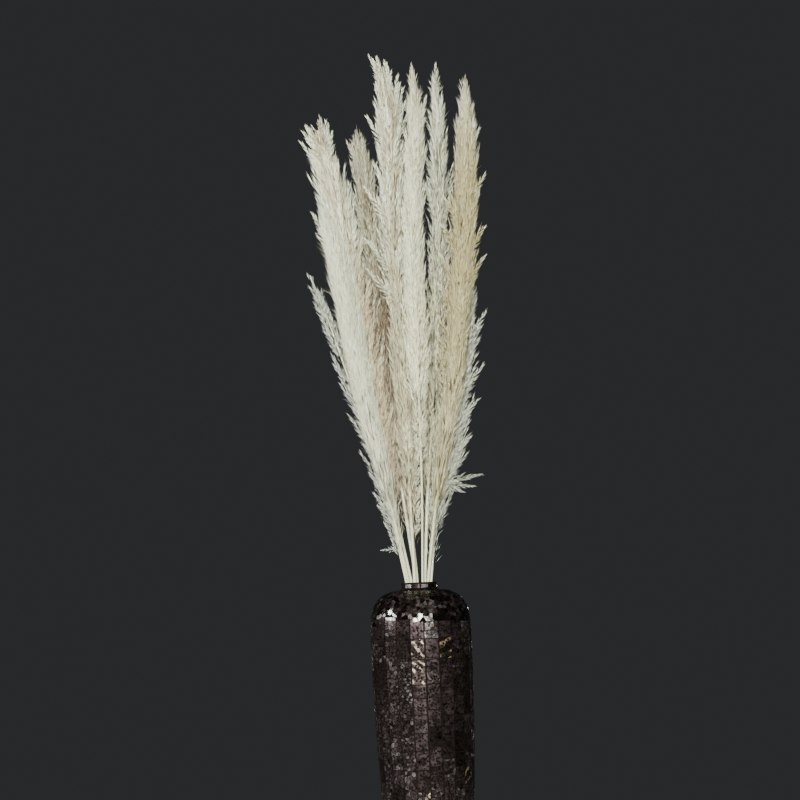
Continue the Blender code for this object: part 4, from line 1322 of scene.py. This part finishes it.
def ramp(tree, value, stops):
    """The colour that a ramp with these stops gives a value."""
    node = tree.nodes.new("ShaderNodeValToRGB")
    elements = node.color_ramp.elements
    while len(elements) > 1:
        elements.remove(elements[-1])
    elements[0].position, elements[0].color = stops[0][0], (*stops[0][1], 1.0)
    for at, colour in stops[1:]:
        element = elements.new(at)
        element.color = (*colour, 1.0)
    connect(tree, node, {"Fac": value})
    return node.outputs["Color"]


def fluff_tones():
    """The shared effect of the plumes' hair, as a node group: from a place on the map (u from the stem out, v
    up the plume) to a tone that goes from a painted shade close to the stem, darkest right at it, to the outer
    tones outwards, and from foot to low to tip upwards, in streaks."""
    group = bpy.data.node_groups.new("hair_tones", "ShaderNodeTree")
    face = group.interface
    face.new_socket("Place", in_out="INPUT", socket_type="NodeSocketVector")
    for name in ("Tip tone", "Painted shade tone", "Low tone", "Foot tone"):
        face.new_socket(name, in_out="INPUT", socket_type="NodeSocketColor")
    for name in ("Low height", "Foot height"):
        face.new_socket(name, in_out="INPUT", socket_type="NodeSocketFloat")
    face.new_socket("Tone", in_out="OUTPUT", socket_type="NodeSocketColor")
    given, result = group.nodes.new("NodeGroupInput").outputs, group.nodes.new("NodeGroupOutput")
    out = worked_out(group, "ShaderNodeSeparateXYZ", "X", {0: given["Place"]})
    up = worked_out(group, "ShaderNodeSeparateXYZ", "Y", {0: given["Place"]})
    outside = given["Foot tone"]
    for limit, tone in (("Foot height", "Low tone"), ("Low height", "Tip tone")):
        above = worked_out(group, "ShaderNodeMath", "Value", {0: up, 1: given[limit]}, operation="SUBTRACT")
        high = value_range(group, above, first=-0.12, last=0.06)
        outside = mixed(group, high, outside, given[tone])
    edge = value_range(group, out, first=0.67, last=0.78, high=0.85)
    outside = mixed(group, edge, outside, given["Tip tone"])
    # Painted shade inside the plume: the deep tone, darkened further right at the stem.
    shade_at_stem = mixed(group, 1.0, given["Painted shade tone"], PAINTED_STEM_SHADE, "MULTIPLY")
    inside = mixed(group, value_range(group, out, first=0.05, last=0.26), shade_at_stem, given["Painted shade tone"])
    plain = mixed(group, value_range(group, out, first=0.26, last=0.58), inside, outside)
    streaks = noise_of(group, stretched(group, given["Place"], (9.0, 60.0, 1.0)), scale=1.0, detail=3.0)
    streaked = mixed(group, 1.0, plain, ramp(group, streaks, STREAK_TONES), "MULTIPLY")
    connect(group, result, {"Tone": streaked})
    return group


def fluff_material(name, tones, effect):
    """Hair with its own tones in the shared effect, and a slight sheen."""
    material, tree, shader = new_material(name, roughness=0.62)
    sockets = {"Place": map_of(tree, "OFBake"), "Low height": tones.low_to, "Foot height": tones.foot_to}
    for socket, tone in (("Tip tone", tones.tip), ("Painted shade tone", tones.deep), ("Low tone", tones.low),
                         ("Foot tone", tones.foot)):
        sockets[socket] = (*tone, 1.0)
    tone = worked_out(tree, "ShaderNodeGroup", "Tone", sockets, node_tree=effect)
    connect(tree, shader, {"Base Color": tone, "Sheen Weight": 0.15})
    return material


def stem_material():
    """Glossy straw with fine streaks along it."""
    material, tree, shader = new_material("straw", roughness=0.38, coat=0.2)
    places = stretched(tree, map_of(tree, "OFBake"), (14.0, 6.0, 1.0))
    streaks = noise_of(tree, places, scale=1.0, detail=4.0)
    connect(tree, shader, {"Base Color": ramp(tree, streaks, STRAW_TONES)})
    return material


def lacquer(name, tones, scale, detail, **bump):
    """Black lacquer with a slight unevenness, and with a relief if its strength and distance are given."""
    material, tree, shader = new_material(name, roughness=0.6)
    places = worked_out(tree, "ShaderNodeTexCoord", "Object", {})
    grain = noise_of(tree, places, scale, detail)
    connect(tree, shader, {"Base Color": ramp(tree, grain, tones), "Specular IOR Level": LACQUER_SHINE})
    if bump:
        connect(tree, shader, {"Normal": relief(tree, grain, **bump)})
    return material


def nacre_bands(tree, own):
    """Wavy bands over a tile's own map, in patches."""
    wavy = {"Vector": own, "Scale": 1.3, "Distortion": 8.0, "Detail": 2.0, "Detail Scale": 0.7,
            "Phase Offset": 1.5}
    wave = worked_out(tree, "ShaderNodeTexWave", "Fac", wavy, wave_type="BANDS", bands_direction="DIAGONAL")
    bands = value_range(tree, wave, first=0.66, last=0.95)
    cloud = noise_of(tree, own, scale=1.7, detail=1.0)
    return product(tree, bands, value_range(tree, cloud, first=0.42, last=0.56, low=0.10))


def shell_material():
    """Dark shell under clear lacquer: a tone for each tile with black speckles, and on some tiles bright wavy
    bands of nacre."""
    material, tree, shader = new_material("shell", roughness=0.42, coat=0.35, coat_roughness=0.08)
    tone, own = number_of(tree, "tone"), map_of(tree, "own")
    fine = noise_of(tree, own, scale=8.0, detail=3.0)
    coarse = noise_of(tree, own, scale=2.6, detail=4.0)
    speckle = value_range(tree, fine, first=0.38, last=0.49, low=0.15)
    blotch = value_range(tree, coarse, first=0.38, last=0.62, low=0.42, high=1.32)
    dark = product(tree, speckle, blotch)
    spotted = mixed(tree, 1.0, ramp(tree, tone, SHELL_TONES), dark, "MULTIPLY")
    chosen = value_range(tree, number_of(tree, "shine"), first=0.72, last=1.0)
    nacre = product(tree, product(tree, nacre_bands(tree, own), chosen), speckle)
    colour = mixed(tree, nacre, spotted, ramp(tree, tone, NACRE_TONES))
    connect(tree, shader, {"Base Color": colour, "Specular IOR Level": 0.0,
                           "Metallic": value_range(tree, nacre, first=0.0, last=1.0, low=0.65),
                           "Normal": relief(tree, coarse, strength=0.5, distance=0.0006)})
    return material


def finish(piece, material, slot, *nodes):
    """Gives a piece its finish, makes it ride on the body, and hides the CAD nodes it stands for. The slot is
    not used.
    """
    piece.data.materials.append(material)
    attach(piece, "root")
    if nodes:
        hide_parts(*nodes)


# The studio, in metres.

CAMERA_DISTANCE = 5.0
VIEW_WIDTH = 1.2
SENSOR = 36.0
LOOK_AT = (-0.0163, 0.0, 0.7239)
CAMERA_HEIGHT = 0.45
LEAN = math.radians(2.5)

# Each light's name, azimuth (0 is the front, 90 the right), elevation, distance, width, height, watts and
# colour.
LIGHTS = [("front", -3, 9, 3.6, 0.5, 0.7, 308, (1.0, 1.0, 0.87)),
          ("fill", 35, 46, 2.6, 1.4, 1.4, 24, (1.0, 0.99, 0.88)),
          ("window", -78, 14, 2.6, 0.8, 0.6, 80, (1.0, 0.99, 0.93))]
LIGHT_TARGET = (0.0, 0.0, 0.75)

# The floor, in millimetres like all the meshes.
FLOOR_HALF = 600.0
FLOOR_HEIGHT = -0.5


def make_camera():
    """The camera at the height of the vase's mouth, rolled so that the vase leans as in the photograph."""
    data = bpy.data.cameras.new("camera")
    data.sensor_width = SENSOR
    camera = bpy.data.objects.new("camera", data)
    bpy.context.scene.collection.objects.link(camera)
    spot = Vector((LOOK_AT[0], -CAMERA_DISTANCE, CAMERA_HEIGHT))
    way = Vector(LOOK_AT) - spot
    data.lens = SENSOR * way.length / VIEW_WIDTH
    turn = way.to_track_quat("-Z", "Y").to_matrix().to_4x4() @ Matrix.Rotation(-LEAN, 4, "Z")
    camera.matrix_world = Matrix.Translation(spot) @ turn
    bpy.context.scene.camera = camera


def make_light(name, azimuth, elevation, distance, width, height, watts, colour):
    """A soft light that faces the target from an azimuth and elevation."""
    data = bpy.data.lights.new(name, "AREA")
    data.shape = "RECTANGLE"
    data.size = width
    data.size_y = height
    data.energy = watts
    data.color = colour
    light = bpy.data.objects.new(name, data)
    bpy.context.scene.collection.objects.link(light)
    a, e = math.radians(azimuth), math.radians(elevation)
    away = Vector((math.sin(a) * math.cos(e), -math.cos(a) * math.cos(e), math.sin(e))) * distance
    light.location = Vector(LIGHT_TARGET) + away
    light.rotation_euler = (-away).to_track_quat("-Z", "Y").to_euler()
    light.visible_camera = False


def make_studio():
    """A plain pale floor, a dark backdrop and soft lights."""
    corners = [(-1, -1), (1, -1), (1, 1), (-1, 1)]
    floor_points = [(x * FLOOR_HALF, y * FLOOR_HALF, FLOOR_HEIGHT) for x, y in corners]
    floor = mesh_object("floor", floor_points, [[0, 1, 2, 3]])
    material, tree, shader = new_material("floor", roughness=0.8)
    connect(tree, shader, {"Base Color": FLOOR_TONE})
    floor.data.materials.append(material)
    world = bpy.data.worlds.new("backdrop")
    world.use_nodes = True
    world.node_tree.nodes["Background"].inputs["Color"].default_value = BACKDROP_TONE
    bpy.context.scene.world = world
    for light in LIGHTS:
        make_light(*light)


body = make_vase_body()
tiles, dots = make_vase_cladding()
grout = lacquer("grout", GROUT_TONES, scale=90.0, detail=3.0, strength=0.3, distance=0.0004)
finish(body, grout, "shell_mosaic", "vase")
finish(tiles, shell_material(), "shell_mosaic")
finish(dots, lacquer("lacquer", LACQUER_TONES, scale=200.0, detail=2.0), "shell_mosaic")

straw = stem_material()
effect = fluff_tones()
for plume in PLUMES:
    finish(make_stem(plume), straw, plume.slot)
    fluff = make_fluff(plume)
    material = fluff_material(plume.name, TONES[plume.name], effect)
    finish(fluff, material, plume.slot, plume.name)

make_camera()
make_studio()
